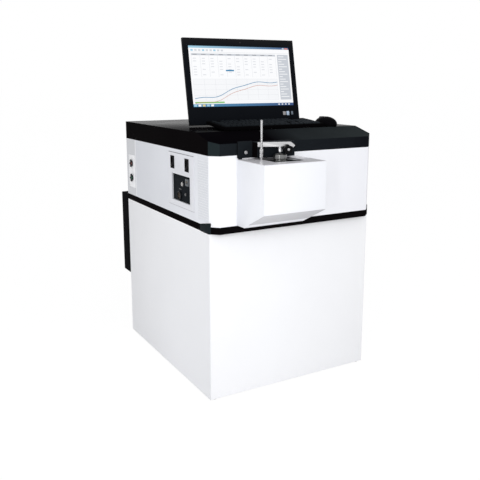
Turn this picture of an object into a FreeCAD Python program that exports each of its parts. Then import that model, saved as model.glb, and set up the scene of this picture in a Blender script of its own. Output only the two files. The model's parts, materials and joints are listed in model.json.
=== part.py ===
import FreeCAD, Part
import Sketcher
import math
import os
import re

# A density meter: a floor-standing cabinet with an instrument head, a sample stand with a clamp on the
# head's front, and an operator station (display, keyboard, mouse) on its lid.
# +Z is up, +X is the object's right as seen from its front, -Y is its front, in millimetres.
# The origin is on the floor, in the middle of the whole object's length and width.

SIZES = {
    # cabinet
    "cabinet_width": 720,
    "cabinet_depth": 820,
    "cabinet_top": 640,
    "panel_wall": 2,
    "skirt_gap": 4,
    "angle_leg": 40,
    "angle_wall": 3,
    "base_plate_wall": 3,
    "foot_height": 24,
    "foot_pad_radius": 18,
    "foot_pad_height": 10,
    "foot_stem_radius": 6,
    # rear duct and what is on the rear panel
    "duct_depth": 85,
    "duct_bottom": 285,
    "duct_top": 660,
    "duct_cable_hole": 120,
    "fan_size": 120,
    "fan_depth": 25,
    "fan_bore_radius": 57,
    "fan_hub_radius": 20,
    "fan_blade_length": 33,
    "fan_blade_width": 18,
    "fan_x": 180,
    "fan_z": 160,
    "vent_slot_height": 3.5,
    "vent_slot_pitch": 9,
    "inlet_width": 48,
    "inlet_height": 27,
    "inlet_depth": 22,
    "inlet_x": -220,
    "inlet_z": 120,
    # head
    "band_height": 26,
    "deck_wall": 3,
    "deck_hole": 120,
    "head_height": 252,
    "head_overhang": 28,
    "corner_chamfer": 30,
    "lid_height": 75,
    "lid_face_height": 42,
    "lid_slope_depth": 118,
    "lid_wall": 4,
    "guard_length": 66,
    "guard_rise": 14,
    "guard_wall": 2,
    "guard_return": 6,
    "head_vent_width": 80,
    "side_vent_rows": 24,
    # connection plate on the left side
    "plate_inset": 115,
    "plate_width": 230,
    "plate_rise": 34,
    "plate_height": 203,
    "plate_wall": 1.5,
    "plate_margin": 8,
    "bay_inset": 35,
    "bay_rise": 20,
    "bay_width": 163,
    "bay_height": 103,
    "bay_depth": 7.5,
    "bay_panel_wall": 2,
    "socket_radius": 17,
    "socket_reach": 6,
    "socket_inset": 105.5,
    "socket_rise": 21,
    "fitting_radius": 7,
    "fitting_inset": 74,
    "fitting_rise": 69,
    "data_port_size": 26,
    "data_port_inset": 31,
    "data_port_rise": 80,
    "data_port_reach": 6,
    "stud_radius": 4,
    "stud_inset": 49.5,
    "stud_rise": 32,
    "stud_reach": 5,
    "switch_width": 30,
    "switch_height": 46,
    "switch_rise": 166,
    "switch_spacing": 130,
    "switch_inset": 58.5,
    "switch_rim": 2.5,
    "switch_lip": 1,
    "switch_depth": 24,
    "rocker_depth": 12,
    "rocker_lean": 8,
    "pivot_radius": 1.5,
    "pivot_reach": 1,
    # hose ports at the rear of the left side
    "port_plate_inset": 99,
    "port_plate_width": 72,
    "port_plate_rise": 36,
    "port_plate_height": 146,
    "port_inset": 66,
    "port_low": 80,
    "port_spacing": 65,
    "port_flange_radius": 13,
    "port_flange_wall": 4,
    "port_stub_radius": 5,
    "port_stub_length": 7,
    "port_bore_radius": 2.5,
    "port_shank_radius": 8,
    "port_shank_length": 26,
    "port_fit": 0.1,
    # sample stand
    "stand_inset": 97,
    "stand_width": 251,
    "stand_depth": 185,
    "stand_top": 904,
    "stand_face_bottom": 733,
    "stand_knee_y": 99,
    "stand_knee_z": 684,
    "stand_keel_y": 131,
    "stand_keel_z": 668,
    "stand_back_z": 667,
    "stand_wall": 3,
    "top_plate_wall": 1.5,
    "underside_wall": 1.7,
    "well_inset": 75,
    "well_width": 126,
    "well_front": 49,
    "well_back": 4,
    "sample_plate_wall": 3,
    "sample_plate_lap": 4,
    "seat_radius": 24,
    "seat_height": 20,
    "seat_cup_radius": 15,
    "seat_cup_depth": 6,
    "seat_bore_radius": 5,
    "cell_radius": 32,
    "cell_flange_radius": 40,
    "cell_flange_wall": 5,
    "cell_height": 80,
    # clamp
    "clamp_reach": 57,
    "rod_inset": 66.3,
    "rod_radius": 4.5,
    "rod_top": 1042,
    "collar_radius": 7.2,
    "collar_height": 3,
    "running_fit": 0.05,
    "rest_gap": 0.3,
    "nut_bottom": 911,
    "nut_height": 15,
    "nut_groove": 2,
    "nut_neck_radius": 6.2,
    "arm_turn": 18,
    "arm_bottom": 949.8,
    "arm_height": 15.5,
    "arm_front": -3,
    "arm_back": 8,
    "arm_tail": 13.6,
    "arm_tail_chamfer": 3,
    "arm_to_bend": 105.3,
    "arm_bend_reach": 15.2,
    "arm_bend_drop": 12.4,
    "arm_tip_width": 7.7,
    "arm_tip_drop": 8,
    "pin_reach": 67.5,
    "barrel_wall": 1,
    "barrel_bottom": 932,
    "barrel_lip": 3,
    "plunger_radius": 3.9,
    "plunger_bottom": 928.5,
    "plunger_collar_radius": 4.9,
    "plunger_collar_height": 3,
    "plunger_room": 12,
    "knob_reach": 92,
    "knob_z": 940.6,
    "knob_radius": 14,
    "knob_lobe_ring": 12,
    "knob_lobe_radius": 5.4,
    "knob_lobes": 5,
    "knob_first_lobe": 26,
    "knob_thickness": 15,
    "spindle_radius": 4,
    "spindle_cap_radius": 4.8,
    "spindle_cap_height": 3,
    "lug_width": 15,
    "lug_drop": 17,
    "clamp_box_inset": 60,
    "clamp_box_width": 156,
    "clamp_box_depth": 41,
    "clamp_box_top": 963,
    "clamp_box_gap": 5.5,
    "clamp_box_wall": 3,
    "flange_inset": 1,
    "flange_wall": 5,
    "flange_bottom": 908,
    "flange_top": 966,
    "flange_tab_inset": 6,
    "flange_tab_width": 14,
    "screw_radius": 2.5,
    "screw_head_radius": 5,
    "screw_head_height": 3.5,
    "clamp_screw_inset": 33.5,
    "clamp_screw_z": 927,
    "panel_screw_radius": 2,
    "panel_screw_head_radius": 4,
    "panel_screw_head_height": 2.5,
    "panel_screw_inset": 20,
    # display, in its own frame: x from its middle, y back from its front, z up from its lower edge
    "display_x": -19.5,
    "display_y": 344,
    "display_lift": 8,
    "display_turn": 3.2,
    "display_tilt": 12,
    "display_width": 503,
    "display_height": 347,
    "screen_width": 459,
    "screen_height": 244,
    "screen_top_margin": 31,
    "bezel_lip": 3,
    "bezel_depth": 9,
    "screen_lap": 6,
    "screen_wall": 5,
    "cover_rim_depth": 5,
    "cover_depth": 38,
    "cover_inset": 60,
    "cover_wall": 2.5,
    "display_button_radius": 1.8,
    "display_button_reach": 1.4,
    "display_button_z": 30,
    "display_button_y": 11.5,
    "tilt_axis_y": 62,
    "tilt_axis_z": 100,
    "ear_wall": 6,
    "ear_width": 20,
    "barrel_radius": 9,
    "barrel_length": 50,
    "tilt_pin_radius": 4,
    "foot_plate_width": 240,
    "foot_plate_depth": 150,
    "foot_plate_start": 32,
    "foot_plate_wall": 5,
    "neck_width": 44,
    "neck_depth": 14,
    # keyboard, in its own frame: x from its middle, y back from its front edge, z up from its underside
    "keyboard_x": -19,
    "keyboard_y": 122,
    "keyboard_lift": 2,
    "keyboard_tilt": 5.5,
    "keyboard_width": 450,
    "keyboard_depth": 150,
    "keyboard_height": 12,
    "key_pitch": 19,
    "key_columns": 22.5,
    "key_gap": 2.6,
    "key_height": 7,
    "key_stand": 4,
    "key_taper": 1.4,
    "key_travel": 2,
    "key_well_margin": 1.2,
    "key_stem": 4,
    "key_stem_length": 4.5,
    "key_stem_play": 0.2,
    "key_front": 12,
    "key_side": 11.25,
    "function_row_gap": 8,
    "keyboard_foot_size": 20,
    "leg_width": 24,
    "leg_wall": 4,
    "leg_length": 14.2,
    "leg_inset": 45,
    "leg_from_rear": 20,
    "leg_axis_drop": 2.4,
    "leg_pin_radius": 1,
    # mouse, in its own frame: x from its middle, y from its middle, z up from the lid
    "mouse_gap": 10,
    "mouse_y": 172,
    "mouse_width": 68,
    "mouse_length": 120,
    "mouse_height": 38,
    "mouse_waist": 9,
    "mouse_base_height": 6,
    "mouse_wall": 2,
    "mouse_skate": 0.8,
    "mouse_seam": 0.6,
    "mouse_seam_y": 8,
    "button_edge_z": 15,
    "button_drop": 1,
    "wheel_radius": 11,
    "wheel_width": 7,
    "wheel_y": 27,
    "wheel_rise": 3,
    "wheel_axle_radius": 1.5,
    "wheel_axle_length": 19,
    "wheel_post_inset": 6,
    "wheel_post_wall": 3,
    # inside
    "supply_width": 220,
    "supply_depth": 120,
    "supply_height": 75,
    "supply_inset": 200,
    "board_width": 300,
    "board_depth": 220,
    "board_wall": 2,
    "board_inset": 300,
    "standoff_radius": 4,
    "standoff_height": 15,
    "chip_size": 50,
    "chip_height": 12,
}

# Named places, each worked out from the sizes above or from places already named.
PLACES = {
    "left": "-cabinet_width / 2",
    "right": "cabinet_width / 2",
    "cabinet_front": "(head_overhang + stand_depth - cabinet_depth - duct_depth) / 2",
    "cabinet_rear": "cabinet_front + cabinet_depth",
    "inner_left": "left + panel_wall",
    "inner_right": "right - panel_wall",
    "inner_front": "cabinet_front + panel_wall",
    "inner_rear": "cabinet_rear - panel_wall",
    "base_top": "foot_height + angle_wall + base_plate_wall",
    "duct_rear": "cabinet_rear + duct_depth",
    "band_top": "cabinet_top + band_height",
    "head_front": "cabinet_front - head_overhang",
    "side_front": "head_front + corner_chamfer",
    "head_top": "band_top + head_height",
    "lid_top": "head_top + lid_height",
    "plate_front": "cabinet_front + plate_inset",
    "plate_bottom": "band_top + plate_rise",
    "plate_face": "left - plate_wall",
    "bay_front": "plate_front + bay_inset",
    "bay_bottom": "plate_bottom + bay_rise",
    "bay_floor": "plate_face + bay_depth",
    "switch_z": "plate_bottom + switch_rise",
    "front_switch_y": "plate_front + switch_inset",
    "rear_switch_y": "front_switch_y + switch_spacing",
    "rocker_axis_x": "plate_face - switch_lip + rocker_depth / 2 + 1.5",
    "rocker_half": "switch_height / 2 - switch_rim - 2.3",
    "port_y": "cabinet_rear - port_inset",
    "low_port_z": "band_top + port_low",
    "port_plate_front": "cabinet_rear - port_plate_inset",
    "port_plate_bottom": "band_top + port_plate_rise",
    "stand_left": "left + stand_inset",
    "stand_right": "stand_left + stand_width",
    "stand_front": "head_front - stand_depth",
    "stand_shell_top": "stand_top - top_plate_wall",
    "well_left": "stand_left + well_inset",
    "well_right": "well_left + well_width",
    "well_start": "stand_front + well_front",
    "well_end": "head_front - well_back",
    "seat_top": "stand_shell_top + seat_height",
    "clamp_y": "head_front - clamp_reach",
    "rod_x": "stand_left + rod_inset",
    "arm_top": "arm_bottom + arm_height",
    "arm_middle": "(arm_front + arm_back) / 2",
    "pin_x": "rod_x + pin_reach * cos(arm_turn) + arm_middle * sin(arm_turn)",
    "pin_y": "clamp_y - pin_reach * sin(arm_turn) + arm_middle * cos(arm_turn)",
    "barrel_radius_out": "plunger_collar_radius + running_fit + barrel_wall",
    "plunger_top": "barrel_bottom + barrel_lip + plunger_collar_height",
    "knob_front": "arm_front - 1 - knob_thickness",
    "clamp_box_left": "stand_left + clamp_box_inset",
    "clamp_box_front": "head_front - clamp_box_depth",
    "clamp_box_bottom": "stand_top + clamp_box_gap",
    "flange_left": "stand_left + flange_inset",
    "display_z": "lid_top + display_lift",
    "display_base_y": "head_front + display_y",
    "screen_bottom": "display_height - screen_top_margin - screen_height",
    "cover_start": "bezel_depth",
    "cover_bend": "bezel_depth + cover_rim_depth",
    "cover_back": "bezel_depth + cover_depth",
    "neck_axis_y": "tilt_axis_y * cos(display_tilt) + tilt_axis_z * sin(display_tilt)",
    "neck_axis_z": "display_lift + tilt_axis_z * cos(display_tilt) - tilt_axis_y * sin(display_tilt)",
    "keyboard_front": "head_front + keyboard_y",
    "key_step": "(keyboard_width - 2 * key_side) / key_columns",
    "key_bottom": "keyboard_height + key_stand - key_height",
    "key_floor": "key_bottom - key_travel - rest_gap",
    "leg_axis_y": "keyboard_depth - leg_from_rear",
    "mouse_bottom": "mouse_skate",
    "mouse_centre_x": "keyboard_x + keyboard_width / 2 + mouse_gap + mouse_width / 2",
    "mouse_centre_y": "head_front + mouse_y",
}

ALONG = {
    "x": FreeCAD.Rotation(FreeCAD.Vector(0, 1, 0), 90),
    "y": FreeCAD.Rotation(FreeCAD.Vector(1, 0, 0), -90),
    "z": FreeCAD.Rotation(),
}

doc = FreeCAD.newDocument("density_meter")
sheet = doc.addObject("Spreadsheet::Sheet", "dims")
for line, (alias, number) in enumerate(SIZES.items(), start=1):
    sheet.set(f"A{line}", alias)
    sheet.set(f"B{line}", str(number))
    sheet.setAlias(f"B{line}", alias)
doc.recompute()

nodes = []


def formula(text):
    """The sheet expression of a length: each place is written out and each size read from the sheet."""

    def word(match):
        name = match.group()
        if name in PLACES:
            return "(" + formula(PLACES[name]) + ")"
        return "dims." + name if name in SIZES else name

    return re.sub(r"[a-z_][a-z_0-9]*", word, str(text))


def value(text):
    return float(sheet.evalExpression(formula(text)))


def bind(item, **properties):
    for name, text in properties.items():
        item.setExpression(name, formula(text))


def move(item, x="0", y="0", z="0"):
    for axis, text in zip("xyz", (x, y, z)):
        item.setExpression(f".Placement.Base.{axis}", formula(text))


def turn(item, axis, angle):
    """Turns a piece about an axis through its own origin."""
    item.Placement.Rotation = FreeCAD.Rotation(FreeCAD.Vector(*axis), 1)
    item.setExpression(".Placement.Rotation.Angle", formula(angle))


def block(name, x, y, z):
    """A box between two places on each axis."""
    item = doc.addObject("Part::Box", name)
    bind(item, Length=f"({x[1]}) - ({x[0]})", Width=f"({y[1]}) - ({y[0]})", Height=f"({z[1]}) - ({z[0]})")
    move(item, x[0], y[0], z[0])
    return item


def rod(name, axis, radius, x, y, z, length):
    """A round bar that starts at a point and runs along one axis."""
    item = doc.addObject("Part::Cylinder", name)
    bind(item, Radius=radius, Height=length)
    item.Placement.Rotation = ALONG[axis]
    move(item, x, y, z)
    return item


def prism(name, plane, points, start, length):
    """A sketched outline on XY, YZ or XZ, padded from start along the plane's own axis, towards plus."""
    body = doc.addObject("PartDesign::Body", name)
    role = plane + "_Plane"
    origin_plane = next(f for f in body.Origin.OriginFeatures if f.Role == role)
    sketch = body.newObject("Sketcher::SketchObject", name + "_outline")
    sketch.AttachmentSupport = [(origin_plane, "")]
    sketch.MapMode = "FlatFace"
    corners = [FreeCAD.Vector(value(a), value(b), 0) for a, b in points]
    count = len(corners)
    for i in range(count):
        sketch.addGeometry(Part.LineSegment(corners[i], corners[(i + 1) % count]), False)
    for i in range(count):
        sketch.addConstraint(Sketcher.Constraint("Coincident", i, 2, (i + 1) % count, 1))
    for i, (across, up) in enumerate(points):
        for kind, text, number in (("DistanceX", across, corners[i].x), ("DistanceY", up, corners[i].y)):
            k = sketch.addConstraint(Sketcher.Constraint(kind, -1, 1, i, 1, number))
            sketch.setExpression(f"Constraints[{k}]", formula(text))
    pad = body.newObject("PartDesign::Pad", name + "_pad")
    pad.Profile = sketch
    pad.Reversed = plane == "XZ"
    bind(pad, Length=length)
    places = {"XY": ("0", "0", start), "YZ": (start, "0", "0"), "XZ": ("0", start, "0")}
    move(body, *places[plane])
    return body


def joined(name, *parts):
    item = doc.addObject("Part::MultiFuse", name)
    item.Shapes = list(parts)
    return item


def cut(name, base, *tools):
    item = doc.addObject("Part::Cut", name)
    item.Base = base
    item.Tool = tools[0] if len(tools) == 1 else joined(name + "_tools", *tools)
    return item


def overlap(name, first, second):
    item = doc.addObject("Part::Common", name)
    item.Base = first
    item.Tool = second
    return item


def group(name, *parts):
    """Separate solids that share one node."""
    item = doc.addObject("Part::Compound", name)
    item.Links = list(parts)
    return item


def node(item, label):
    item.Label = label
    nodes.append(item)
    return item


def middle(centre, width):
    """The two ends of a width laid evenly about a centre."""
    return (f"({centre}) - ({width}) / 2", f"({centre}) + ({width}) / 2")


# ---------------------------------------------------------------- cabinet


def foot(name, x, y):
    pad = rod(name + "_pad", "z", "foot_pad_radius", x, y, "0", "foot_pad_height")
    stem = rod(name + "_stem", "z", "foot_stem_radius", x, y, "0", "foot_height")
    return joined(name, pad, stem)


def levelling_feet():
    inset = "panel_wall + angle_leg / 2"
    feet = []
    for i, x in enumerate((f"left + {inset}", f"right - ({inset})")):
        for j, y in enumerate((f"cabinet_front + {inset}", f"cabinet_rear - ({inset})")):
            feet.append(foot(f"foot_{i}{j}", x, y))
    node(group("feet", *feet), "levelling_feet")


def cabinet_frame():
    """Angle posts and rails: the whole ring of bars less all that lies inside their walls."""
    x = ("inner_left", "inner_right")
    y = ("inner_front", "inner_rear")
    z = ("foot_height", "cabinet_top")
    outer = block("frame_outer", x, y, z)
    hollow = [
        block(
            "frame_inside",
            ("inner_left + angle_wall", "inner_right - angle_wall"),
            ("inner_front + angle_wall", "inner_rear - angle_wall"),
            ("foot_height + angle_wall", "cabinet_top - angle_wall"),
        )
    ]
    window_x = ("inner_left + angle_leg", "inner_right - angle_leg")
    window_y = ("inner_front + angle_leg", "inner_rear - angle_leg")
    window_z = ("foot_height + angle_leg", "cabinet_top - angle_leg")
    hollow.append(block("frame_window_x", ("left", "right"), window_y, window_z))
    hollow.append(block("frame_window_y", window_x, ("cabinet_front", "cabinet_rear"), window_z))
    hollow.append(block("frame_window_z", window_x, window_y, ("0", "cabinet_top + 1")))
    node(cut("frame", outer, *hollow), "cabinet_frame")


def base_plate():
    item = block(
        "base",
        ("inner_left + angle_wall", "inner_right - angle_wall"),
        ("inner_front + angle_wall", "inner_rear - angle_wall"),
        ("foot_height + angle_wall", "base_top"),
    )
    node(item, "base_plate")


def fan_slots(name, y):
    """Slots one above another across the fan's bore."""
    rows = 11
    slots = []
    for k in range(rows):
        z = f"fan_z + {k - rows // 2} * vent_slot_pitch"
        slots.append(
            block(
                f"{name}_{k}",
                ("fan_x - fan_bore_radius * 0.8", "fan_x + fan_bore_radius * 0.8"),
                (f"{y} - panel_wall - 1", f"{y} + 1"),
                (f"{z} - vent_slot_height / 2", f"{z} + vent_slot_height / 2"),
            )
        )
    return slots


def panel_screw_places():
    xs = ("inner_left + panel_screw_inset", "inner_right - panel_screw_inset")
    zs = ("skirt_gap + foot_height + panel_screw_inset", "duct_bottom - panel_screw_inset")
    return [(x, z) for x in xs for z in zs]


def cabinet_panels():
    height = ("skirt_gap", "cabinet_top")
    depth = ("cabinet_front", "cabinet_rear")
    node(block("left_panel", ("left", "inner_left"), depth, height), "cabinet_left_panel")
    node(block("right_panel", ("inner_right", "right"), depth, height), "cabinet_right_panel")
    across = ("inner_left", "inner_right")
    node(block("front_panel", across, ("cabinet_front", "inner_front"), height), "cabinet_front_panel")
    sheet_blank = block("rear_blank", across, ("inner_rear", "cabinet_rear"), height)
    through = ("inner_rear - 1", "cabinet_rear + 1")
    holes = fan_slots("rear_slot", "cabinet_rear")
    duct_z = "(duct_bottom + cabinet_top) / 2"
    holes.append(
        block(
            "rear_cable_hole",
            middle("0", "duct_cable_hole"),
            through,
            middle(duct_z, "duct_cable_hole"),
        ),
    )
    holes.append(
        block(
            "inlet_hole",
            middle("inlet_x", "inlet_width - 6"),
            through,
            middle("inlet_z", "inlet_height - 6"),
        ),
    )
    for k, (x, z) in enumerate(panel_screw_places()):
        holes.append(
            rod(
                f"rear_screw_hole_{k}",
                "y",
                "panel_screw_radius + port_fit",
                x,
                "inner_rear - 1",
                z,
                "panel_wall + 2",
            ),
        )
    node(cut("rear_panel", sheet_blank, *holes), "cabinet_rear_panel")


def rear_duct():
    outer = block(
        "duct_outer",
        ("left", "right"),
        ("cabinet_rear", "duct_rear"),
        ("duct_bottom", "duct_top"),
    )
    inner = block(
        "duct_inner",
        ("inner_left", "inner_right"),
        ("cabinet_rear - 1", "duct_rear - panel_wall"),
        ("duct_bottom + panel_wall", "duct_top - panel_wall"),
    )
    node(cut("duct", outer, inner), "rear_duct")


def cooling_fan():
    y = ("inner_rear - fan_depth", "inner_rear")
    frame = block("fan_block", middle("fan_x", "fan_size"), y, middle("fan_z", "fan_size"))
    bore = rod(
        "fan_bore",
        "y",
        "fan_bore_radius",
        "fan_x",
        "inner_rear - fan_depth - 1",
        "fan_z",
        "fan_depth + 2",
    )
    ring = cut("fan_ring", frame, bore)
    hub_seat = rod("fan_seat", "y", "fan_hub_radius", "fan_x", "inner_rear - 4", "fan_z", "4")
    spoke_a = block(
        "fan_spoke_a",
        middle("fan_x", "fan_bore_radius * 2 + 2"),
        ("inner_rear - 4", "inner_rear"),
        middle("fan_z", "5"),
    )
    spoke_b = block(
        "fan_spoke_b",
        middle("fan_x", "5"),
        ("inner_rear - 4", "inner_rear"),
        middle("fan_z", "fan_bore_radius * 2 + 2"),
    )
    pin = rod(
        "fan_pin",
        "y",
        "spindle_radius - running_fit",
        "fan_x",
        "inner_rear - fan_depth + 4",
        "fan_z",
        "fan_depth - 4",
    )
    node(joined("fan_frame", ring, hub_seat, spoke_a, spoke_b, pin), "fan_frame")
    hub = rod(
        "rotor_hub",
        "y",
        "fan_hub_radius",
        "fan_x",
        "inner_rear - fan_depth + 2",
        "fan_z",
        "fan_depth - 6.5",
    )
    blades = []
    count = 7
    for k in range(count):
        blade = doc.addObject("Part::Box", f"blade_{k}")
        bind(blade, Length="fan_blade_length + 3", Width="fan_blade_width", Height="2")
        around = 360 * (k + 0.3) / count
        spread = FreeCAD.Rotation(FreeCAD.Vector(0, 1, 0), around)
        pitch = FreeCAD.Rotation(FreeCAD.Vector(1, 0, 0), 30)
        blade.Placement.Rotation = spread * pitch
        angle = math.radians(around)
        reach = "(fan_hub_radius - 3)"
        move(
            blade,
            f"fan_x + {reach} * {round(math.cos(angle), 6)}",
            "inner_rear - fan_depth + 3",
            f"fan_z - {reach} * {round(math.sin(angle), 6)}",
        )
        blades.append(blade)
    spinner = joined("rotor_solid", hub, *blades)
    bore = rod(
        "rotor_bore",
        "y",
        "spindle_radius",
        "fan_x",
        "inner_rear - fan_depth + 3.8",
        "fan_z",
        "fan_depth",
    )
    node(cut("rotor", spinner, bore), "fan_rotor")


def mains_inlet():
    flange = block(
        "inlet_flange",
        middle("inlet_x", "inlet_width"),
        ("cabinet_rear", "cabinet_rear + 2"),
        middle("inlet_z", "inlet_height"),
    )
    body = block(
        "inlet_body",
        middle("inlet_x", "inlet_width - 6.4"),
        ("inner_rear - inlet_depth", "cabinet_rear + 1"),
        middle("inlet_z", "inlet_height - 6.4"),
    )
    socket = block(
        "inlet_socket",
        middle("inlet_x", "inlet_width - 14"),
        ("inner_rear - inlet_depth + 5", "cabinet_rear + 3"),
        middle("inlet_z", "inlet_height - 10.5"),
    )
    shell = cut("inlet_shell", joined("inlet_solid", flange, body), socket)
    pins = []
    for k, (dx, dz) in enumerate((("-9", "-2"), ("0", "3"), ("9", "-2"))):
        pins.append(
            block(
                f"inlet_pin_{k}",
                middle(f"inlet_x + {dx}", "2"),
                ("inner_rear - inlet_depth + 4", "cabinet_rear - 3"),
                middle(f"inlet_z + {dz}", "5"),
            )
        )
    node(joined("inlet", shell, *pins), "mains_inlet")


def inner_parts():
    x = middle("left / 2", "supply_width")
    supply = block(
        "supply",
        x,
        middle("cabinet_rear - supply_inset", "supply_depth"),
        ("base_top", "base_top + supply_height"),
    )
    node(supply, "power_supply")
    centre_y = "cabinet_front + board_inset"
    board = block(
        "board",
        middle("0", "board_width"),
        middle(centre_y, "board_depth"),
        ("band_top + standoff_height", "band_top + standoff_height + board_wall"),
    )
    parts = [board]
    for i in (-1, 1):
        for j in (-1, 1):
            x = f"{i} * (board_width / 2 - 12)"
            y = f"{centre_y} + {j} * (board_depth / 2 - 12)"
            parts.append(
                rod(
                    f"standoff_{i + 1}{j + 1}",
                    "z",
                    "standoff_radius",
                    x,
                    y,
                    "band_top",
                    "standoff_height + 0.5",
                ),
            )
    for k in range(3):
        top = "band_top + standoff_height + board_wall"
        x = f"{k - 1} * chip_size * 1.6"
        parts.append(
            block(
                f"chip_{k}",
                middle(x, "chip_size"),
                middle(centre_y, "chip_size"),
                (f"{top} - 0.5", f"{top} + chip_height"),
            ),
        )
    node(joined("control_board_solid", *parts), "control_board")


# ---------------------------------------------------------------- head


def head_outline():
    """The head's plan: a rectangle with both front corners cut off."""
    return [
        ("left", "side_front"),
        ("left + corner_chamfer", "head_front"),
        ("right - corner_chamfer", "head_front"),
        ("right", "side_front"),
        ("right", "cabinet_rear"),
        ("left", "cabinet_rear"),
    ]


def head_base():
    blank = prism("band_blank", "XY", head_outline(), "cabinet_top", "band_height")
    hollow = block(
        "band_hollow",
        ("inner_left + angle_leg", "inner_right - angle_leg"),
        ("inner_front + angle_leg", "inner_rear - angle_leg"),
        ("cabinet_top - 1", "band_top - deck_wall"),
    )
    hole = block(
        "deck_opening",
        middle("0", "deck_hole"),
        middle("cabinet_rear - 160", "deck_hole"),
        ("cabinet_top", "band_top + 1"),
    )
    node(cut("band", blank, hollow, hole), "head_base")


def side_vent(name, side, y, z):
    """Thin slots one above another in a side panel of the head."""
    slots = []
    for k in range(int(value("side_vent_rows"))):
        low = f"{z} + {k} * vent_slot_pitch"
        slots.append(
            block(
                f"{name}_{k}",
                (f"{side} - panel_wall - 1", f"{side} + panel_wall + 1"),
                (y, f"{y} + head_vent_width"),
                (low, f"{low} + 2"),
            ),
        )
    return slots


def port_places():
    return [("port_y", "low_port_z"), ("port_y", "low_port_z + port_spacing")]


def head_panels():
    height = ("band_top", "head_top")
    depth = ("side_front", "cabinet_rear")
    left_blank = block("head_left_blank", ("left", "inner_left"), depth, height)
    opening = block(
        "connection_opening",
        ("left - 1", "inner_left + 1"),
        ("plate_front + plate_margin", "plate_front + plate_width - plate_margin"),
        ("plate_bottom + plate_margin", "plate_bottom + plate_height - plate_margin"),
    )
    holes = [opening] + side_vent("left_vent", "left", "side_front + 2", "band_top + 24")
    for k, (y, z) in enumerate(port_places()):
        holes.append(
            rod(f"port_hole_{k}", "x", "port_shank_radius + port_fit", "left - 1", y, z, "panel_wall + 2"),
        )
    node(cut("head_left", left_blank, *holes), "head_left_panel")
    right_blank = block("head_right_blank", ("inner_right", "right"), depth, height)
    node(
        cut(
            "head_right",
            right_blank,
            *side_vent("right_vent", "right", "side_front + 2", "band_top + 24"),
        ),
        "head_right_panel",
    )
    lean = "panel_wall * tan(22.5)"
    inset = "panel_wall * sqrt(2)"
    outline = head_outline()[:4] + [
        (f"right - {inset}", "side_front"),
        (f"right - corner_chamfer - {lean}", "head_front + panel_wall"),
        (f"left + corner_chamfer + {lean}", "head_front + panel_wall"),
        (f"left + {inset}", "side_front"),
    ]
    node(prism("head_front_sheet", "XY", outline, "band_top", "head_height"), "head_front_panel")
    rear_blank = block(
        "head_rear_blank",
        ("inner_left", "inner_right"),
        ("inner_rear", "cabinet_rear"),
        height,
    )
    vents = []
    for side in (-1, 1):
        for k in range(10):
            z = f"band_top + 60 + {k} * vent_slot_pitch"
            x = middle(f"{side} * cabinet_width / 4", "head_vent_width * 2")
            vents.append(
                block(
                    f"rear_vent_{side + 1}{k}",
                    x,
                    ("inner_rear - 1", "cabinet_rear + 1"),
                    (z, f"{z} + vent_slot_height"),
                ),
            )
    node(cut("head_rear", rear_blank, *vents), "head_rear_panel")


def lid_form(name, inset):
    """The lid's outer form, or its inside when inset is the wall."""
    profile = [
        (f"head_front + {inset}", "head_top"),
        (f"head_front + {inset}", f"head_top + lid_face_height - {inset} * 0.8"),
        (f"head_front + lid_slope_depth + {inset} * 0.2", f"lid_top - {inset}"),
        (f"cabinet_rear - {inset}", f"lid_top - {inset}"),
        (f"cabinet_rear - {inset}", "head_top"),
    ]
    side = prism(name + "_side", "YZ", profile, f"left + {inset}", f"cabinet_width - 2 * {inset}")
    corner = f"corner_chamfer + {inset} * 0.6"
    plan_points = [
        (f"left + {inset}", f"head_front + {corner}"),
        (f"left + {corner}", f"head_front + {inset}"),
        (f"right - ({corner})", f"head_front + {inset}"),
        (f"right - {inset}", f"head_front + {corner}"),
        (f"right - {inset}", f"cabinet_rear - {inset}"),
        (f"left + {inset}", f"cabinet_rear - {inset}"),
    ]
    plan = prism(name + "_plan", "XY", plan_points, "head_top", "lid_height")
    return overlap(name, side, plan)


def head_lid():
    outer = lid_form("lid_outer", "0")
    inner = lid_form("lid_inner", "lid_wall")
    hole_radius = "screw_radius + port_fit"
    hole_x = "stand_left + clamp_screw_inset"
    hole = rod(
        "lid_screw_hole",
        "y",
        hole_radius,
        hole_x,
        "head_front - 1",
        "clamp_screw_z",
        "lid_wall + 2",
    )
    node(cut("lid", outer, inner, hole), "head_lid")


def corner_guard(name, side):
    """A wedge-shaped guard over the band's side, with a short return round the cut corner."""
    points = [
        ("side_front", "cabinet_top"),
        ("side_front + guard_length", "cabinet_top"),
        ("side_front + guard_length", "band_top"),
        ("side_front", "band_top + guard_rise"),
    ]
    face = "left - guard_wall" if side < 0 else "right"
    wedge = prism(name + "_wedge", "YZ", points, face, "guard_wall")
    across = "guard_wall / sqrt(2)"
    corner = [
        (f"{side} * cabinet_width / 2", "side_front"),
        (f"{side} * (cabinet_width / 2 - guard_return)", "side_front - guard_return"),
        (
            f"{side} * (cabinet_width / 2 - guard_return + {across})",
            f"side_front - guard_return - {across}",
        ),
        (f"{side} * (cabinet_width / 2 + guard_wall)", "side_front - guard_wall * (sqrt(2) - 1)"),
        (f"{side} * (cabinet_width / 2 + guard_wall)", "side_front"),
    ]
    lip = prism(name + "_return", "XY", corner, "cabinet_top", "band_height + guard_rise")
    return joined(name, wedge, lip)


def corner_guards():
    """Guards over the band at the head's lower front corners."""
    node(group("guards", corner_guard("guard_left", -1), corner_guard("guard_right", 1)), "corner_guards")


# ---------------------------------------------------------------- left side: switches, bay and hose ports


def switch_span():
    return middle("switch_z", "switch_height")


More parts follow.
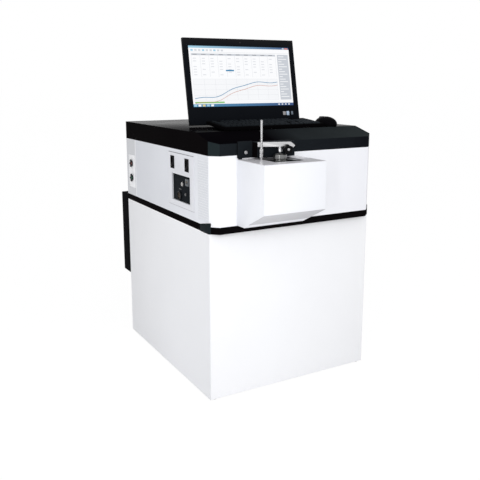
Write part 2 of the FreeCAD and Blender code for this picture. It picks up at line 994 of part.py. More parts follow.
def connection_plate():
    y = ("plate_front", "plate_front + plate_width")
    z = ("plate_bottom", "plate_bottom + plate_height")
    plate = block("plate_blank", ("plate_face", "left"), y, z)
    bay_y = ("bay_front", "bay_front + bay_width")
    bay_z = ("bay_bottom", "bay_bottom + bay_height")
    rim = block(
        "bay_rim",
        ("plate_face", "bay_floor"),
        ("bay_front - plate_wall", "bay_front + bay_width + plate_wall"),
        ("bay_bottom - plate_wall", "bay_bottom + bay_height + plate_wall"),
    )
    through = ("plate_face - 1", "bay_floor + 1")
    holes = [block("bay_hole", through, bay_y, bay_z)]
    for k, y in enumerate(("front_switch_y", "rear_switch_y")):
        holes.append(
            block(
                f"switch_hole_{k}",
                through,
                middle(y, "switch_width - 2 * plate_wall"),
                middle("switch_z", "switch_height - 2 * plate_wall"),
            ),
        )
    node(cut("plate", joined("plate_solid", plate, rim), *holes), "connection_plate")


def bay_panel():
    lap = "plate_wall"
    item = block(
        "bay_sheet",
        ("bay_floor", "bay_floor + bay_panel_wall"),
        (f"bay_front - {lap}", f"bay_front + bay_width + {lap}"),
        (f"bay_bottom - {lap}", f"bay_bottom + bay_height + {lap}"),
    )
    node(item, "bay_panel")


def bay_connectors():
    """A round signal socket, a hose fitting, a data port and an earth stud, each on the bay's panel."""
    y = "bay_front + socket_inset"
    z = "bay_bottom + socket_rise"
    shell = rod("socket_shell", "x", "socket_radius", "bay_floor - socket_reach", y, z, "socket_reach")
    inside = rod(
        "socket_inside",
        "x",
        "socket_radius - 3",
        "bay_floor - socket_reach - 1",
        y,
        z,
        "socket_reach - 1",
    )
    cup = cut("socket_cup", shell, inside)
    pins = []
    count = 5
    for k in range(count):
        angle = f"({360 * k / count})"
        pin_y = f"{y} + socket_radius * 0.45 * cos{angle}"
        pin_z = f"{z} + socket_radius * 0.45 * sin{angle}"
        pin_start = "bay_floor - socket_reach + 1.5"
        pins.append(rod(f"socket_pin_{k}", "x", "1.5", pin_start, pin_y, pin_z, "socket_reach - 2"))
    socket = joined("signal_socket", cup, *pins)
    y = "bay_front + fitting_inset"
    z = "bay_bottom + fitting_rise"
    tube = rod("fitting_tube", "x", "fitting_radius", "bay_floor - socket_reach", y, z, "socket_reach")
    bore = rod(
        "fitting_bore",
        "x",
        "port_bore_radius",
        "bay_floor - socket_reach - 1",
        y,
        z,
        "socket_reach",
    )
    fitting = cut("hose_fitting", tube, bore)
    y = "bay_front + data_port_inset"
    z = "bay_bottom + data_port_rise"
    case_x = ("bay_floor - data_port_reach", "bay_floor")
    case = block("port_case", case_x, middle(y, "data_port_size"), middle(z, "data_port_size"))
    face_x = ("bay_floor - data_port_reach - 1", "bay_floor - data_port_reach + 3")
    face = block("port_face", face_x, middle(y, "data_port_size - 8"), middle(z, "data_port_size - 14"))
    port = cut("data_port", case, face)
    y = "bay_front + stud_inset"
    z = "bay_bottom + stud_rise"
    stud = rod("earth_stud", "x", "stud_radius", "bay_floor - stud_reach", y, z, "stud_reach")
    node(group("connectors", socket, fitting, port, stud), "bay_connectors")


def switch(name, y, label):
    """A rocker in its housing. The rocker leans with its upper end pressed in."""
    lip = block(
        name + "_lip",
        ("plate_face - switch_lip", "plate_face"),
        middle(y, "switch_width"),
        switch_span(),
    )
    body = block(
        name + "_body",
        ("plate_face - switch_lip", "plate_face + switch_depth"),
        middle(y, "switch_width - 2 * plate_wall - 2 * port_fit"),
        middle("switch_z", "switch_height - 2 * plate_wall - 2 * port_fit"),
    )
    pocket = block(
        name + "_pocket",
        ("plate_face - switch_lip - 1", "plate_face + switch_depth - 4"),
        middle(y, "switch_width - 2 * switch_rim - 1"),
        middle("switch_z", "switch_height - 2 * switch_rim"),
    )
    inner_width = "(switch_width - 2 * switch_rim - 1)"
    pivot_hole = rod(
        name + "_pivot_hole",
        "y",
        "pivot_radius + running_fit",
        "rocker_axis_x",
        f"{y} - switch_width / 2",
        "switch_z",
        "switch_width",
    )
    housing = cut(name + "_housing", joined(name + "_solid", lip, body), pocket, pivot_hole)
    half = "rocker_half"
    points = [
        (f"-rocker_depth / 2 - 1.5", half),
        (f"-rocker_depth / 2 + 1", "0"),
        (f"-rocker_depth / 2 - 1.5", f"-{half}"),
        ("rocker_depth / 4", f"-{half} * 0.85"),
        ("rocker_depth / 2", "0"),
        ("rocker_depth / 4", f"{half} * 0.85"),
    ]
    cap = prism(name + "_cap", "XZ", points, f"rest_gap - {inner_width} / 2", f"{inner_width} - 2 * rest_gap")
    pivot_start = f"-{inner_width} / 2 - pivot_reach"
    pivot = rod(name + "_pivot", "y", "pivot_radius", "0", pivot_start, "0", f"-2 * ({pivot_start})")
    rocker = joined(name + "_rocker", cap, pivot)
    turn(rocker, (0, 1, 0), "rocker_lean")
    move(rocker, "rocker_axis_x", y, "switch_z")
    node(rocker, label)
    return housing


def switches():
    front = switch("front_switch", "front_switch_y", "main_rocker")
    rear = switch("rear_switch", "rear_switch_y", "pump_rocker")
    node(group("switches", front, rear), "switch_housings")


def hose_ports():
    y = ("port_plate_front", "port_plate_front + port_plate_width")
    z = ("port_plate_bottom", "port_plate_bottom + port_plate_height")
    blank = block("port_plate_blank", ("plate_face", "left"), y, z)
    holes, fittings = [], []
    for k, (y, z) in enumerate(port_places()):
        holes.append(
            rod(
                f"port_plate_hole_{k}",
                "x",
                "port_shank_radius + port_fit",
                "plate_face - 1",
                y,
                z,
                "plate_wall + 2",
            ),
        )
        flange = rod(
            f"port_flange_{k}",
            "x",
            "port_flange_radius",
            "plate_face - port_flange_wall",
            y,
            z,
            "port_flange_wall",
        )
        start = "plate_face - port_flange_wall - port_stub_length"
        stub = rod(f"port_stub_{k}", "x", "port_stub_radius", start, y, z, "port_stub_length + 1")
        shank = rod(
            f"port_shank_{k}",
            "x",
            "port_shank_radius",
            "plate_face - 1",
            y,
            z,
            "port_shank_length + 1",
        )
        bore = rod(
            f"port_bore_{k}",
            "x",
            "port_bore_radius",
            f"{start} - 1",
            y,
            z,
            "port_stub_length + port_flange_wall + port_shank_length + 2",
        )
        fittings.append(cut(f"port_{k}", joined(f"port_solid_{k}", flange, stub, shank), bore))
    node(cut("port_sheet", blank, *holes), "port_plate")
    node(group("ports", *fittings), "port_fittings")


# ---------------------------------------------------------------- sample stand


def stand_housing():
    outline = [
        ("head_front", "stand_shell_top"),
        ("stand_front", "stand_shell_top"),
        ("stand_front", "stand_face_bottom"),
        ("stand_front + stand_knee_y", "stand_knee_z"),
        ("stand_front + stand_keel_y", "stand_keel_z"),
        ("head_front", "stand_back_z"),
    ]
    outer = prism("stand_outer", "YZ", outline, "stand_left", "stand_width")
    inside = [
        ("head_front + 1", "stand_shell_top + 1"),
        ("stand_front + stand_wall", "stand_shell_top + 1"),
        ("stand_front + stand_wall", "stand_face_bottom + stand_wall"),
        ("stand_front + stand_knee_y", "stand_knee_z + 1.7 * stand_wall"),
        ("stand_front + stand_keel_y", "stand_keel_z + 1.3 * stand_wall"),
        ("head_front + 1", "stand_back_z + 1.3 * stand_wall"),
    ]
    hollow = prism("stand_hollow", "YZ", inside, "stand_left + stand_wall", "stand_width - 2 * stand_wall")
    sheet_points = [
        ("stand_front", "stand_face_bottom"),
        ("stand_front + stand_knee_y", "stand_knee_z"),
        ("stand_front + stand_knee_y", "stand_knee_z + underside_wall"),
        ("stand_front", "stand_face_bottom + underside_wall"),
    ]
    room = prism("underside_room", "YZ", sheet_points, "stand_left", "stand_width")
    node(cut("stand_shell", outer, hollow, room), "stand_housing")
    cover = prism("underside_cover", "YZ", sheet_points, "stand_left", "stand_width")
    node(cover, "stand_underside")


def stand_surface():
    blank = block(
        "top_blank",
        ("stand_left", "stand_right"),
        ("stand_front", "head_front"),
        ("stand_shell_top", "stand_top"),
    )
    well = block(
        "well",
        ("well_left", "well_right"),
        ("well_start", "well_end"),
        ("stand_shell_top - 1", "stand_top + 1"),
    )
    rod_hole = rod(
        "rod_hole",
        "z",
        "rod_radius",
        "rod_x",
        "clamp_y",
        "stand_shell_top - 1",
        "top_plate_wall + 2",
    )
    node(cut("top_sheet", blank, well, rod_hole), "stand_top")
    lap = "sample_plate_lap"
    plate = block(
        "well_plate",
        (f"well_left - {lap}", f"well_right + {lap}"),
        (f"well_start - {lap}", "head_front"),
        ("stand_shell_top - sample_plate_wall", "stand_shell_top"),
    )
    eye = rod(
        "well_eye",
        "z",
        "seat_bore_radius",
        "pin_x",
        "pin_y",
        "stand_shell_top - sample_plate_wall - 1",
        "sample_plate_wall + 2",
    )
    node(cut("well_sheet", plate, eye), "sample_plate")


def seat_ring():
    outer = rod("seat_outer", "z", "seat_radius", "pin_x", "pin_y", "stand_shell_top", "seat_height")
    cup = rod(
        "seat_cup",
        "z",
        "seat_cup_radius",
        "pin_x",
        "pin_y",
        "seat_top - seat_cup_depth",
        "seat_cup_depth + 1",
    )
    bore = rod("seat_bore", "z", "seat_bore_radius", "pin_x", "pin_y", "stand_shell_top - 1", "seat_height")
    node(cut("seat", outer, cup, bore), "seat_ring")


def measuring_cell():
    top = "stand_shell_top - sample_plate_wall"
    flange = rod(
        "cell_flange",
        "z",
        "cell_flange_radius",
        "pin_x",
        "pin_y",
        f"{top} - cell_flange_wall",
        "cell_flange_wall",
    )
    barrel = rod(
        "cell_barrel",
        "z",
        "cell_radius",
        "pin_x",
        "pin_y",
        f"{top} - cell_height",
        "cell_height - 1",
    )
    bore = rod(
        "cell_bore",
        "z",
        "seat_bore_radius",
        "pin_x",
        "pin_y",
        f"{top} - cell_height / 2",
        "cell_height",
    )
    node(cut("cell", joined("cell_solid", flange, barrel), bore), "measuring_cell")


# ---------------------------------------------------------------- clamp


def clamp_housing():
    box_x = ("clamp_box_left", "clamp_box_left + clamp_box_width")
    box = block(
        "clamp_box",
        box_x,
        ("clamp_box_front", "head_front"),
        ("clamp_box_bottom", "clamp_box_top"),
    )
    hollow = block(
        "clamp_hollow",
        ("clamp_box_left + clamp_box_wall", "clamp_box_left + clamp_box_width - clamp_box_wall"),
        ("clamp_box_front + clamp_box_wall", "head_front + 1"),
        ("clamp_box_bottom + clamp_box_wall", "clamp_box_top - clamp_box_wall"),
    )
    flange = block(
        "clamp_flange",
        ("flange_left", "clamp_box_left + 1"),
        ("head_front - flange_wall", "head_front"),
        ("flange_bottom", "flange_top"),
    )
    tab_left = "stand_left + flange_tab_inset"
    tab = block(
        "clamp_tab",
        (tab_left, f"{tab_left} + flange_tab_width"),
        ("head_front - flange_wall", "head_front"),
        ("stand_top", "flange_bottom + 1"),
    )
    hole = rod(
        "clamp_screw_hole",
        "y",
        "screw_radius + port_fit",
        "stand_left + clamp_screw_inset",
        "head_front - flange_wall - 1",
        "clamp_screw_z",
        "flange_wall + 2",
    )
    shell = cut("clamp_shell", box, hollow)
    node(cut("clamp_casting", joined("clamp_solid", shell, flange, tab), hole), "clamp_housing")


def clamp_rod():
    bar = rod(
        "rod_bar",
        "z",
        "rod_radius",
        "rod_x",
        "clamp_y",
        "stand_shell_top",
        "rod_top - stand_shell_top",
    )
    collar = rod("rod_collar", "z", "collar_radius", "rod_x", "clamp_y", "stand_top", "collar_height")
    node(joined("rod_solid", bar, collar), "clamp_rod")


def rod_nuts():
    """Two knurled barrels and a neck that slide on the rod and carry the arm."""
    upper_start = "nut_bottom + nut_height + nut_groove"
    lower = rod("nut_lower", "z", "collar_radius", "rod_x", "clamp_y", "nut_bottom", "nut_height")
    upper = rod("nut_upper", "z", "collar_radius", "rod_x", "clamp_y", upper_start, "nut_height")
    neck_length = "arm_bottom - running_fit - nut_bottom - 1"
    neck = rod("nut_neck", "z", "nut_neck_radius", "rod_x", "clamp_y", "nut_bottom + 1", neck_length)
    bore_radius = "rod_radius + running_fit"
    bore = rod(
        "nut_bore",
        "z",
        bore_radius,
        "rod_x",
        "clamp_y",
        "nut_bottom - 1",
        "arm_bottom - nut_bottom + 2",
    )
    node(cut("nuts", joined("nuts_solid", lower, upper, neck), bore), "rod_nuts")


def set_arm(item):
    """Turns a piece of the arm, made along X with the rod's axis at its own origin, to its place."""
    turn(item, (0, 0, -1), "arm_turn")
    move(item, "rod_x", "clamp_y", "0")
    return item


def clamp_arm():
    outline = [
        ("-arm_tail", "arm_bottom"),
        ("arm_to_bend - arm_height * 0.3", "arm_bottom"),
        (
            "arm_to_bend + arm_bend_reach - arm_tip_width",
            "arm_top - arm_bend_drop - arm_tip_drop",
        ),
        ("arm_to_bend + arm_bend_reach", "arm_top - arm_bend_drop"),
        ("arm_to_bend", "arm_top"),
        ("-arm_tail", "arm_top"),
    ]
    bar = prism("arm_bar", "XZ", outline, "arm_front", "arm_back - arm_front")
    corner = [
        ("-arm_tail - 1", "arm_back - arm_tail_chamfer - 1"),
        ("-arm_tail + arm_tail_chamfer + 1", "arm_back + 1"),
        ("-arm_tail - 1", "arm_back + 1"),
    ]
    tail = prism("arm_tail_corner", "XY", corner, "arm_bottom - 1", "arm_height + 2")
    lug_x = middle("knob_reach", "lug_width")
    lug_z = ("arm_bottom - lug_drop", "arm_bottom + 1")
    lug = block("arm_lug", lug_x, ("arm_front", "arm_back"), lug_z)
    barrel_length = "arm_bottom + 1 - barrel_bottom"
    barrel = rod(
        "pin_barrel",
        "z",
        "barrel_radius_out",
        "pin_reach",
        "arm_middle",
        "barrel_bottom",
        barrel_length,
    )
    eye = rod("arm_eye", "z", "rod_radius + running_fit", "0", "0", "arm_bottom - 1", "arm_height + 2")
    lip_radius = "plunger_radius + running_fit"
    lip = rod("lip_bore", "z", lip_radius, "pin_reach", "arm_middle", "barrel_bottom - 1", "barrel_lip + 2")
    room_radius = "plunger_collar_radius + running_fit"
    room_start = "barrel_bottom + barrel_lip"
    room = rod("plunger_room_bore", "z", room_radius, "pin_reach", "arm_middle", room_start, "plunger_room")
    spindle_hole = rod(
        "arm_spindle_hole",
        "y",
        "spindle_radius",
        "knob_reach",
        "arm_front - 1",
        "knob_z",
        "arm_back - arm_front + 2",
    )
    solid = joined("arm_solid", bar, lug, barrel)
    node(set_arm(cut("arm", solid, tail, eye, lip, room, spindle_hole)), "clamp_arm")


def press_pin():
    stem_length = "plunger_top - plunger_bottom"
    stem = rod("plunger", "z", "plunger_radius", "pin_reach", "arm_middle", "plunger_bottom", stem_length)
    collar_start = "barrel_bottom + barrel_lip"
    collar = rod(
        "plunger_collar",
        "z",
        "plunger_collar_radius",
        "pin_reach",
        "arm_middle",
        f"{collar_start} + running_fit",
        "plunger_collar_height - running_fit",
    )
    node(set_arm(joined("pin", stem, collar)), "press_pin")


def clamp_knob():
    hub = rod("knob_hub", "y", "knob_radius", "knob_reach", "knob_front", "knob_z", "knob_thickness")
    lobes = []
    count = int(value("knob_lobes"))
    for k in range(count):
        angle = f"(knob_first_lobe + {360 * k / count})"
        x = f"knob_reach + knob_lobe_ring * cos{angle}"
        z = f"knob_z + knob_lobe_ring * sin{angle}"
        lobes.append(rod(f"knob_lobe_{k}", "y", "knob_lobe_radius", x, "knob_front", z, "knob_thickness"))
    bore_radius = "spindle_radius + running_fit"
    bore = rod(
        "knob_bore",
        "y",
        bore_radius,
        "knob_reach",
        "knob_front - 1",
        "knob_z",
        "knob_thickness + 2",
    )
    node(set_arm(cut("knob", joined("knob_solid", hub, *lobes), bore)), "clamp_knob")
    shaft_start = "knob_front - rest_gap - 1"
    shaft = rod(
        "shaft",
        "y",
        "spindle_radius",
        "knob_reach",
        shaft_start,
        "knob_z",
        f"arm_back - ({shaft_start})",
    )
    cap_start = "knob_front - rest_gap - spindle_cap_height"
    cap = rod("cap", "y", "spindle_cap_radius", "knob_reach", cap_start, "knob_z", "spindle_cap_height")
    node(set_arm(joined("spindle", shaft, cap)), "knob_spindle")


def fixing_screws():
    x = "stand_left + clamp_screw_inset"
    start = "head_front - flange_wall"
    head = rod(
        "clamp_screw_head",
        "y",
        "screw_head_radius",
        x,
        f"{start} - screw_head_height",
        "clamp_screw_z",
        "screw_head_height",
    )
    shank = rod(
        "clamp_screw_shank",
        "y",
        "screw_radius",
        x,
        f"{start} - 1",
        "clamp_screw_z",
        "flange_wall + lid_wall + 2",
    )
    screws = [joined("clamp_screw", head, shank)]
    for k, (x, z) in enumerate(panel_screw_places()):
        head = rod(
            f"panel_screw_head_{k}",
            "y",
            "panel_screw_head_radius",
            x,
            "cabinet_rear",
            z,
            "panel_screw_head_height",
        )
        shank = rod(
            f"panel_screw_shank_{k}",
            "y",
            "panel_screw_radius",
            x,
            "inner_rear",
            z,
            "panel_wall + 1",
        )
        screws.append(joined(f"panel_screw_{k}", head, shank))
    node(group("screws", *screws), "fixing_screws")


# ---------------------------------------------------------------- display


def stand_display(item):
    """Puts a piece of the display, made upright at its own origin, in its place on the lid."""
    turn(item, (-1, 0, 0), "display_tilt")
    placed = group(item.Name + "_placed", item)
    turn(placed, (0, 0, -1), "display_turn")
    move(placed, "display_x", "display_base_y", "display_z")
    return placed


def display_front():
    across = middle("0", "display_width")
    frame = block("bezel_blank", across, ("0", "bezel_depth"), ("0", "display_height"))
    window_z = ("screen_bottom", "screen_bottom + screen_height")
    window = block("bezel_window", middle("0", "screen_width"), ("-1", "bezel_depth + 1"), window_z)
    lap = "screen_lap"
    lap_x = middle("0", f"screen_width + 2 * {lap}")
    lap_z = (f"screen_bottom - {lap}", f"screen_bottom + screen_height + {lap}")
    rebate = block("bezel_rebate", lap_x, ("bezel_lip", "bezel_depth + 1"), lap_z)
    node(stand_display(cut("bezel", frame, window, rebate)), "display_bezel")
    panel = block("screen", lap_x, ("bezel_lip", "bezel_lip + screen_wall"), lap_z)
    node(stand_display(group("screen_unit", panel)), "display_panel")


def cover_form(name, inset):
    """The rear cover's outer form, or its inside when inset is the wall: a rim and a tapered back."""
    half = f"(display_width / 2 - {inset})"
    rim = block(
        name + "_rim",
        (f"-{half}", half),
        (f"cover_start - {inset} * 0.4", "cover_bend"),
        (inset, f"display_height - {inset}"),
    )
    taper = doc.addObject("Part::Wedge", name + "_taper")
    bind(
        taper,
        Xmin=f"-{half}",
        Xmax=half,
        Ymin="cover_bend",
        Ymax=f"cover_back - {inset}",
        Zmin=inset,
        Zmax=f"display_height - {inset}",
        X2min=f"-{half} + cover_inset",
        X2max=f"{half} - cover_inset",
        Z2min=f"{inset} + cover_inset * 0.5",
        Z2max=f"display_height - {inset} - cover_inset",
    )
    return joined(name, rim, taper)


def display_back():
    outer = cover_form("cover_outer", "0")
    inner = cover_form("cover_inner", "cover_wall")
    shell = cut("cover_shell", outer, inner)
    ears = []
    reach = "tilt_axis_y + ear_width / 2"
    for side in (-1, 1):
        near = f"{side} * (barrel_length / 2 + rest_gap)"
        far = f"{side} * (barrel_length / 2 + rest_gap + ear_wall)"
        x = (near, far) if side > 0 else (far, near)
        ears.append(
            block(f"ear_{side + 1}", x, ("cover_back - 1", reach), middle("tilt_axis_z", "ear_width")),
        )
    length = "barrel_length + 2 * (rest_gap + ear_wall)"
    pin = rod("tilt_pin", "x", "tilt_pin_radius", f"-({length}) / 2", "tilt_axis_y", "tilt_axis_z", length)
    hole_x = "display_width / 2 - cover_wall - 1"
    hole = rod(
        "button_hole",
        "x",
        "display_button_radius + rest_gap",
        hole_x,
        "display_button_y",
        "display_button_z",
        "cover_wall + 2",
    )
    node(
        stand_display(cut("rear_cover", joined("cover_solid", shell, pin, *ears), hole)),
        "display_rear_cover",
    )
    button = rod(
        "button",
        "x",
        "display_button_radius",
        hole_x,
        "display_button_y",
        "display_button_z",
        "cover_wall + 1 + display_button_reach",
    )
    node(stand_display(group("button_unit", button)), "display_button")


def display_foot():
    """A plate on the lid, a neck and the barrel that the display's pin turns in."""
    y = ("foot_plate_start", "foot_plate_start + foot_plate_depth")
    plate = block("foot_plate", middle("0", "foot_plate_width"), y, ("0", "foot_plate_wall"))
    neck = block(
        "neck",
        middle("0", "neck_width"),
        middle("neck_axis_y", "neck_depth"),
        ("1", "neck_axis_z"),
    )
    barrel = rod(
        "barrel",
        "x",
        "barrel_radius",
        "-barrel_length / 2",
        "neck_axis_y",
        "neck_axis_z",
        "barrel_length",
    )
    bore = rod(
        "barrel_bore",
        "x",
        "tilt_pin_radius + running_fit",
        "-barrel_length / 2 - 1",
        "neck_axis_y",
        "neck_axis_z",
        "barrel_length + 2",
    )
    item = cut("display_stand", joined("foot_solid", plate, neck, barrel), bore)
    turn(item, (0, 0, -1), "display_turn")
    move(item, "display_x", "display_base_y", "lid_top")
    node(item, "display_foot")


# ---------------------------------------------------------------- keyboard


def lay_keyboard(item):
    """Puts a piece of the keyboard, made flat at its own origin, in its place on the lid."""
    turn(item, (1, 0, 0), "keyboard_tilt")
    move(item, "keyboard_x", "keyboard_front", "lid_top + keyboard_lift")
    return item


def key_span(column, row, width, depth):
    """The left, right, front and rear edges of a key, counted in steps from the left front key."""
    first = f"-keyboard_width / 2 + key_side + key_gap / 2 + {column} * key_step"
    row_shift = "function_row_gap" if row > 4.5 else "0"
    front = f"key_front + {row} * key_pitch + key_gap / 2 + {row_shift}"
    last = f"{first} + {width} * key_step - key_gap"
    rear = f"{front} + {depth} * key_pitch - key_gap"
    return first, last, front, rear


def keycap(name, place):
    """A tapered key on a square stem."""
    column, row, width, depth = place
    first, last, front, rear = key_span(*place)
    cap = doc.addObject("Part::Wedge", name + "_cap")
    bind(
        cap,
        Xmin="0",
        Ymin="0",
        Zmin="0",
        Xmax=f"{width} * key_step - key_gap",
        Ymax="key_height",
        Zmax=f"{depth} * key_pitch - key_gap",
        X2min="key_taper",
        Z2min="key_taper",
        X2max=f"{width} * key_step - key_gap - key_taper",
        Z2max=f"{depth} * key_pitch - key_gap - key_taper",
    )
    # the wedge's own y becomes up and its own z becomes forward, so its place is the key's rear edge
    cap.Placement.Rotation = FreeCAD.Rotation(FreeCAD.Vector(1, 0, 0), 90)
    move(cap, first, rear, "key_bottom")
    return joined(name, cap, key_stem(name + "_stem", place, "0", "key_bottom + 1"))


def key_stem(name, place, play, top):
    """The stem under the middle of a key, or with some play the pocket that guides it."""
    first, last, front, rear = key_span(*place)
    return block(
        name,
        middle(f"(({first}) + ({last})) / 2", f"key_stem + 2 * ({play})"),
        middle(f"(({front}) + ({rear})) / 2", f"key_stem + 2 * ({play})"),
        (f"key_bottom - key_stem_length - (({play}) > 0 ? key_travel + rest_gap : 0)", top),
    )


def key_row(row, start, widths):
    """The places of keys side by side; a negative width is a gap."""
    places = []
    column = start
    for width in widths:
        if width > 0:
            places.append((column, row, width, 1))
        column += abs(width)
    return places


def key_places():
    """Every key's column, row, width and depth, by the unit that it moves with."""
    function = key_row(
        5,
        0,
        [1, -1, 1, 1, 1, 1, -0.5, 1, 1, 1, 1, -0.5, 1, 1, 1, 1, -0.25, 1, 1, 1],
    )
    main = key_row(4, 0, [1] * 13 + [2])
    main += key_row(3, 0, [1.5] + [1] * 12 + [1.5])
    main += key_row(2, 0, [1.75] + [1] * 11 + [2.25])
    main += key_row(1, 0, [2.25] + [1] * 10 + [2.75])
    main += key_row(0, 0, [1.25, 1.25, 1.25, -6.25, 1.25, 1.25, 1.25, 1.25])
    side = key_row(4, 15.25, [1, 1, 1]) + key_row(3, 15.25, [1, 1, 1])
    side += key_row(1, 16.25, [1]) + key_row(0, 15.25, [1, 1, 1])
    side += key_row(4, 18.5, [1, 1, 1, 1]) + key_row(3, 18.5, [1, 1, 1])
    side += key_row(2, 18.5, [1, 1, 1]) + key_row(1, 18.5, [1, 1, 1])
    side += key_row(0, 18.5, [2, 1])
    side += [(21.5, 2, 1, 2), (21.5, 0, 1, 2)]
    return {
        "function_keys": function,
        "main_keys": main,
        "space_bar": [(3.75, 0, 6.25, 1)],
        "side_keys": side,
    }


def keyboard_keys():
    for label, places in key_places().items():
        caps = [keycap(f"{label}_{k}", place) for k, place in enumerate(places)]
        node(lay_keyboard(group(label + "_unit", *caps)), label)


def key_well(name, columns, rows):
    """The recess that a block of keys stands in, from one column and row to another."""
    left_edge = "-keyboard_width / 2 + key_side"
    top_shift = "function_row_gap" if rows[1] > 5.5 else "0"
    low_shift = "function_row_gap" if rows[0] > 4.5 else "0"
    return block(
        name,
        (
            f"{left_edge} + {columns[0]} * key_step - key_well_margin",
            f"{left_edge} + {columns[1]} * key_step + key_well_margin",
        ),
        (
            f"key_front + {rows[0]} * key_pitch - key_well_margin + {low_shift}",
            f"key_front + {rows[1]} * key_pitch + key_well_margin + {top_shift}",
        ),
        ("key_floor", "keyboard_height + 1"),
    )


def leg_places():
    return ["-keyboard_width / 2 + leg_inset", "keyboard_width / 2 - leg_inset"]


def keyboard_base():
    across = middle("0", "keyboard_width")
    tray = block("tray", across, ("0", "keyboard_depth"), ("0", "keyboard_height"))
    wells = [
        key_well("well_function", (0, 18.5), (5, 6)),
        key_well("well_main", (0, 15), (0, 5)),
        key_well("well_arrows", (15.25, 18.25), (0, 2)),
        key_well("well_navigation", (15.25, 18.25), (3, 5)),
        key_well("well_pad", (18.5, 22.5), (0, 5)),
    ]
    for label, places in key_places().items():
        for k, place in enumerate(places):
            wells.append(key_stem(f"{label}_pocket_{k}", place, "key_stem_play", "key_floor + 1"))
    case = cut("tray_shell", tray, *wells)
    parts = [case]
    for k, x in enumerate(leg_places()):
        size = "keyboard_foot_size"
        parts.append(
            block(f"front_pad_{k}", middle(x, size), ("3", f"3 + {size} / 2"), ("-keyboard_lift - 1", "1")),
        )
        for side in (-1, 1):
            near = f"{x} + {side} * (leg_width / 2 + rest_gap)"
            far = f"{x} + {side} * (leg_width / 2 + rest_gap + 3)"
            span = (near, far) if side > 0 else (far, near)
            parts.append(
                block(
                    f"leg_ear_{k}{side + 1}",
                    span,
                    middle("leg_axis_y", "2 * leg_axis_drop"),
                    ("-2 * leg_axis_drop + 0.4", "1"),
                ),
            )
        length = "leg_width + 2 * rest_gap + 6"
        parts.append(
            rod(
                f"leg_pin_{k}",
                "x",
                "leg_pin_radius - running_fit",
                f"{x} - ({length}) / 2",
                "leg_axis_y",
                "-leg_axis_drop",
                length,
            ),
        )
    lid_x = ("left", "right")
    lid_room = block(
        "keyboard_lid_room",
        lid_x,
        ("keyboard_front", "cabinet_rear"),
        ("head_top", "lid_top"),
    )
    node(cut("keyboard_case", lay_keyboard(joined("keyboard_tray", *parts)), lid_room), "keyboard_base")


def keyboard_legs():
    for k, (side, x) in enumerate(zip(("left", "right"), leg_places())):
        top = rod(
            f"leg_top_{k}",
            "x",
            "leg_wall / 2",
            f"{x} - leg_width / 2",
            "leg_axis_y",
            "-leg_axis_drop",
            "leg_width",
        )
        foot_z = "leg_wall / 2 - leg_length"
        blade = block(
            f"leg_blade_{k}",
            middle(x, "leg_width"),
            middle("leg_axis_y", "leg_wall"),
            (foot_z, "-leg_axis_drop"),
        )
        toe = rod(
            f"leg_toe_{k}",
            "x",
            "leg_wall / 2",
            f"{x} - leg_width / 2",
            "leg_axis_y",
            foot_z,
            "leg_width",
        )
        bore = rod(
            f"leg_bore_{k}",
            "x",
            "leg_pin_radius",
            f"{x} - leg_width / 2 - 1",
            "leg_axis_y",
            "-leg_axis_drop",
            "leg_width + 2",
        )
        leg = cut(f"leg_{k}", joined(f"leg_solid_{k}", top, blade, toe), bore)
        node(lay_keyboard(leg), "keyboard_leg_" + side)


# ---------------------------------------------------------------- mouse


def mouse_egg(name, inset):
    """The mouse's rounded form, or its inside when inset is the wall."""
    item = doc.addObject("Part::Ellipsoid", name)
    bind(
        item,
        Radius1=f"mouse_height - mouse_waist - {inset}",
        Radius2=f"mouse_width / 2 - {inset}",
        Radius3=f"mouse_length / 2 - {inset}",
    )
    item.Angle1 = -90
    item.Angle2 = 90
    item.Angle3 = 360
    move(item, "0", "0", "mouse_waist")
    return item


def mouse_slab(name, x, y, z):
    """A block of the mouse's space, wider than the mouse where no side is given."""
    wide = ("-mouse_width", "mouse_width")
    long = ("-mouse_length", "mouse_length")
    return block(name, x or wide, y or long, z)


def set_mouse(item):
    move(item, "mouse_centre_x", "mouse_centre_y", "lid_top")
    return item


def mouse_shell_solid(name):
    solid = cut(
        name + "_hollow",
        mouse_egg(name + "_outside", "0"),
        mouse_egg(name + "_inside", "mouse_wall"),
    )
    return solid


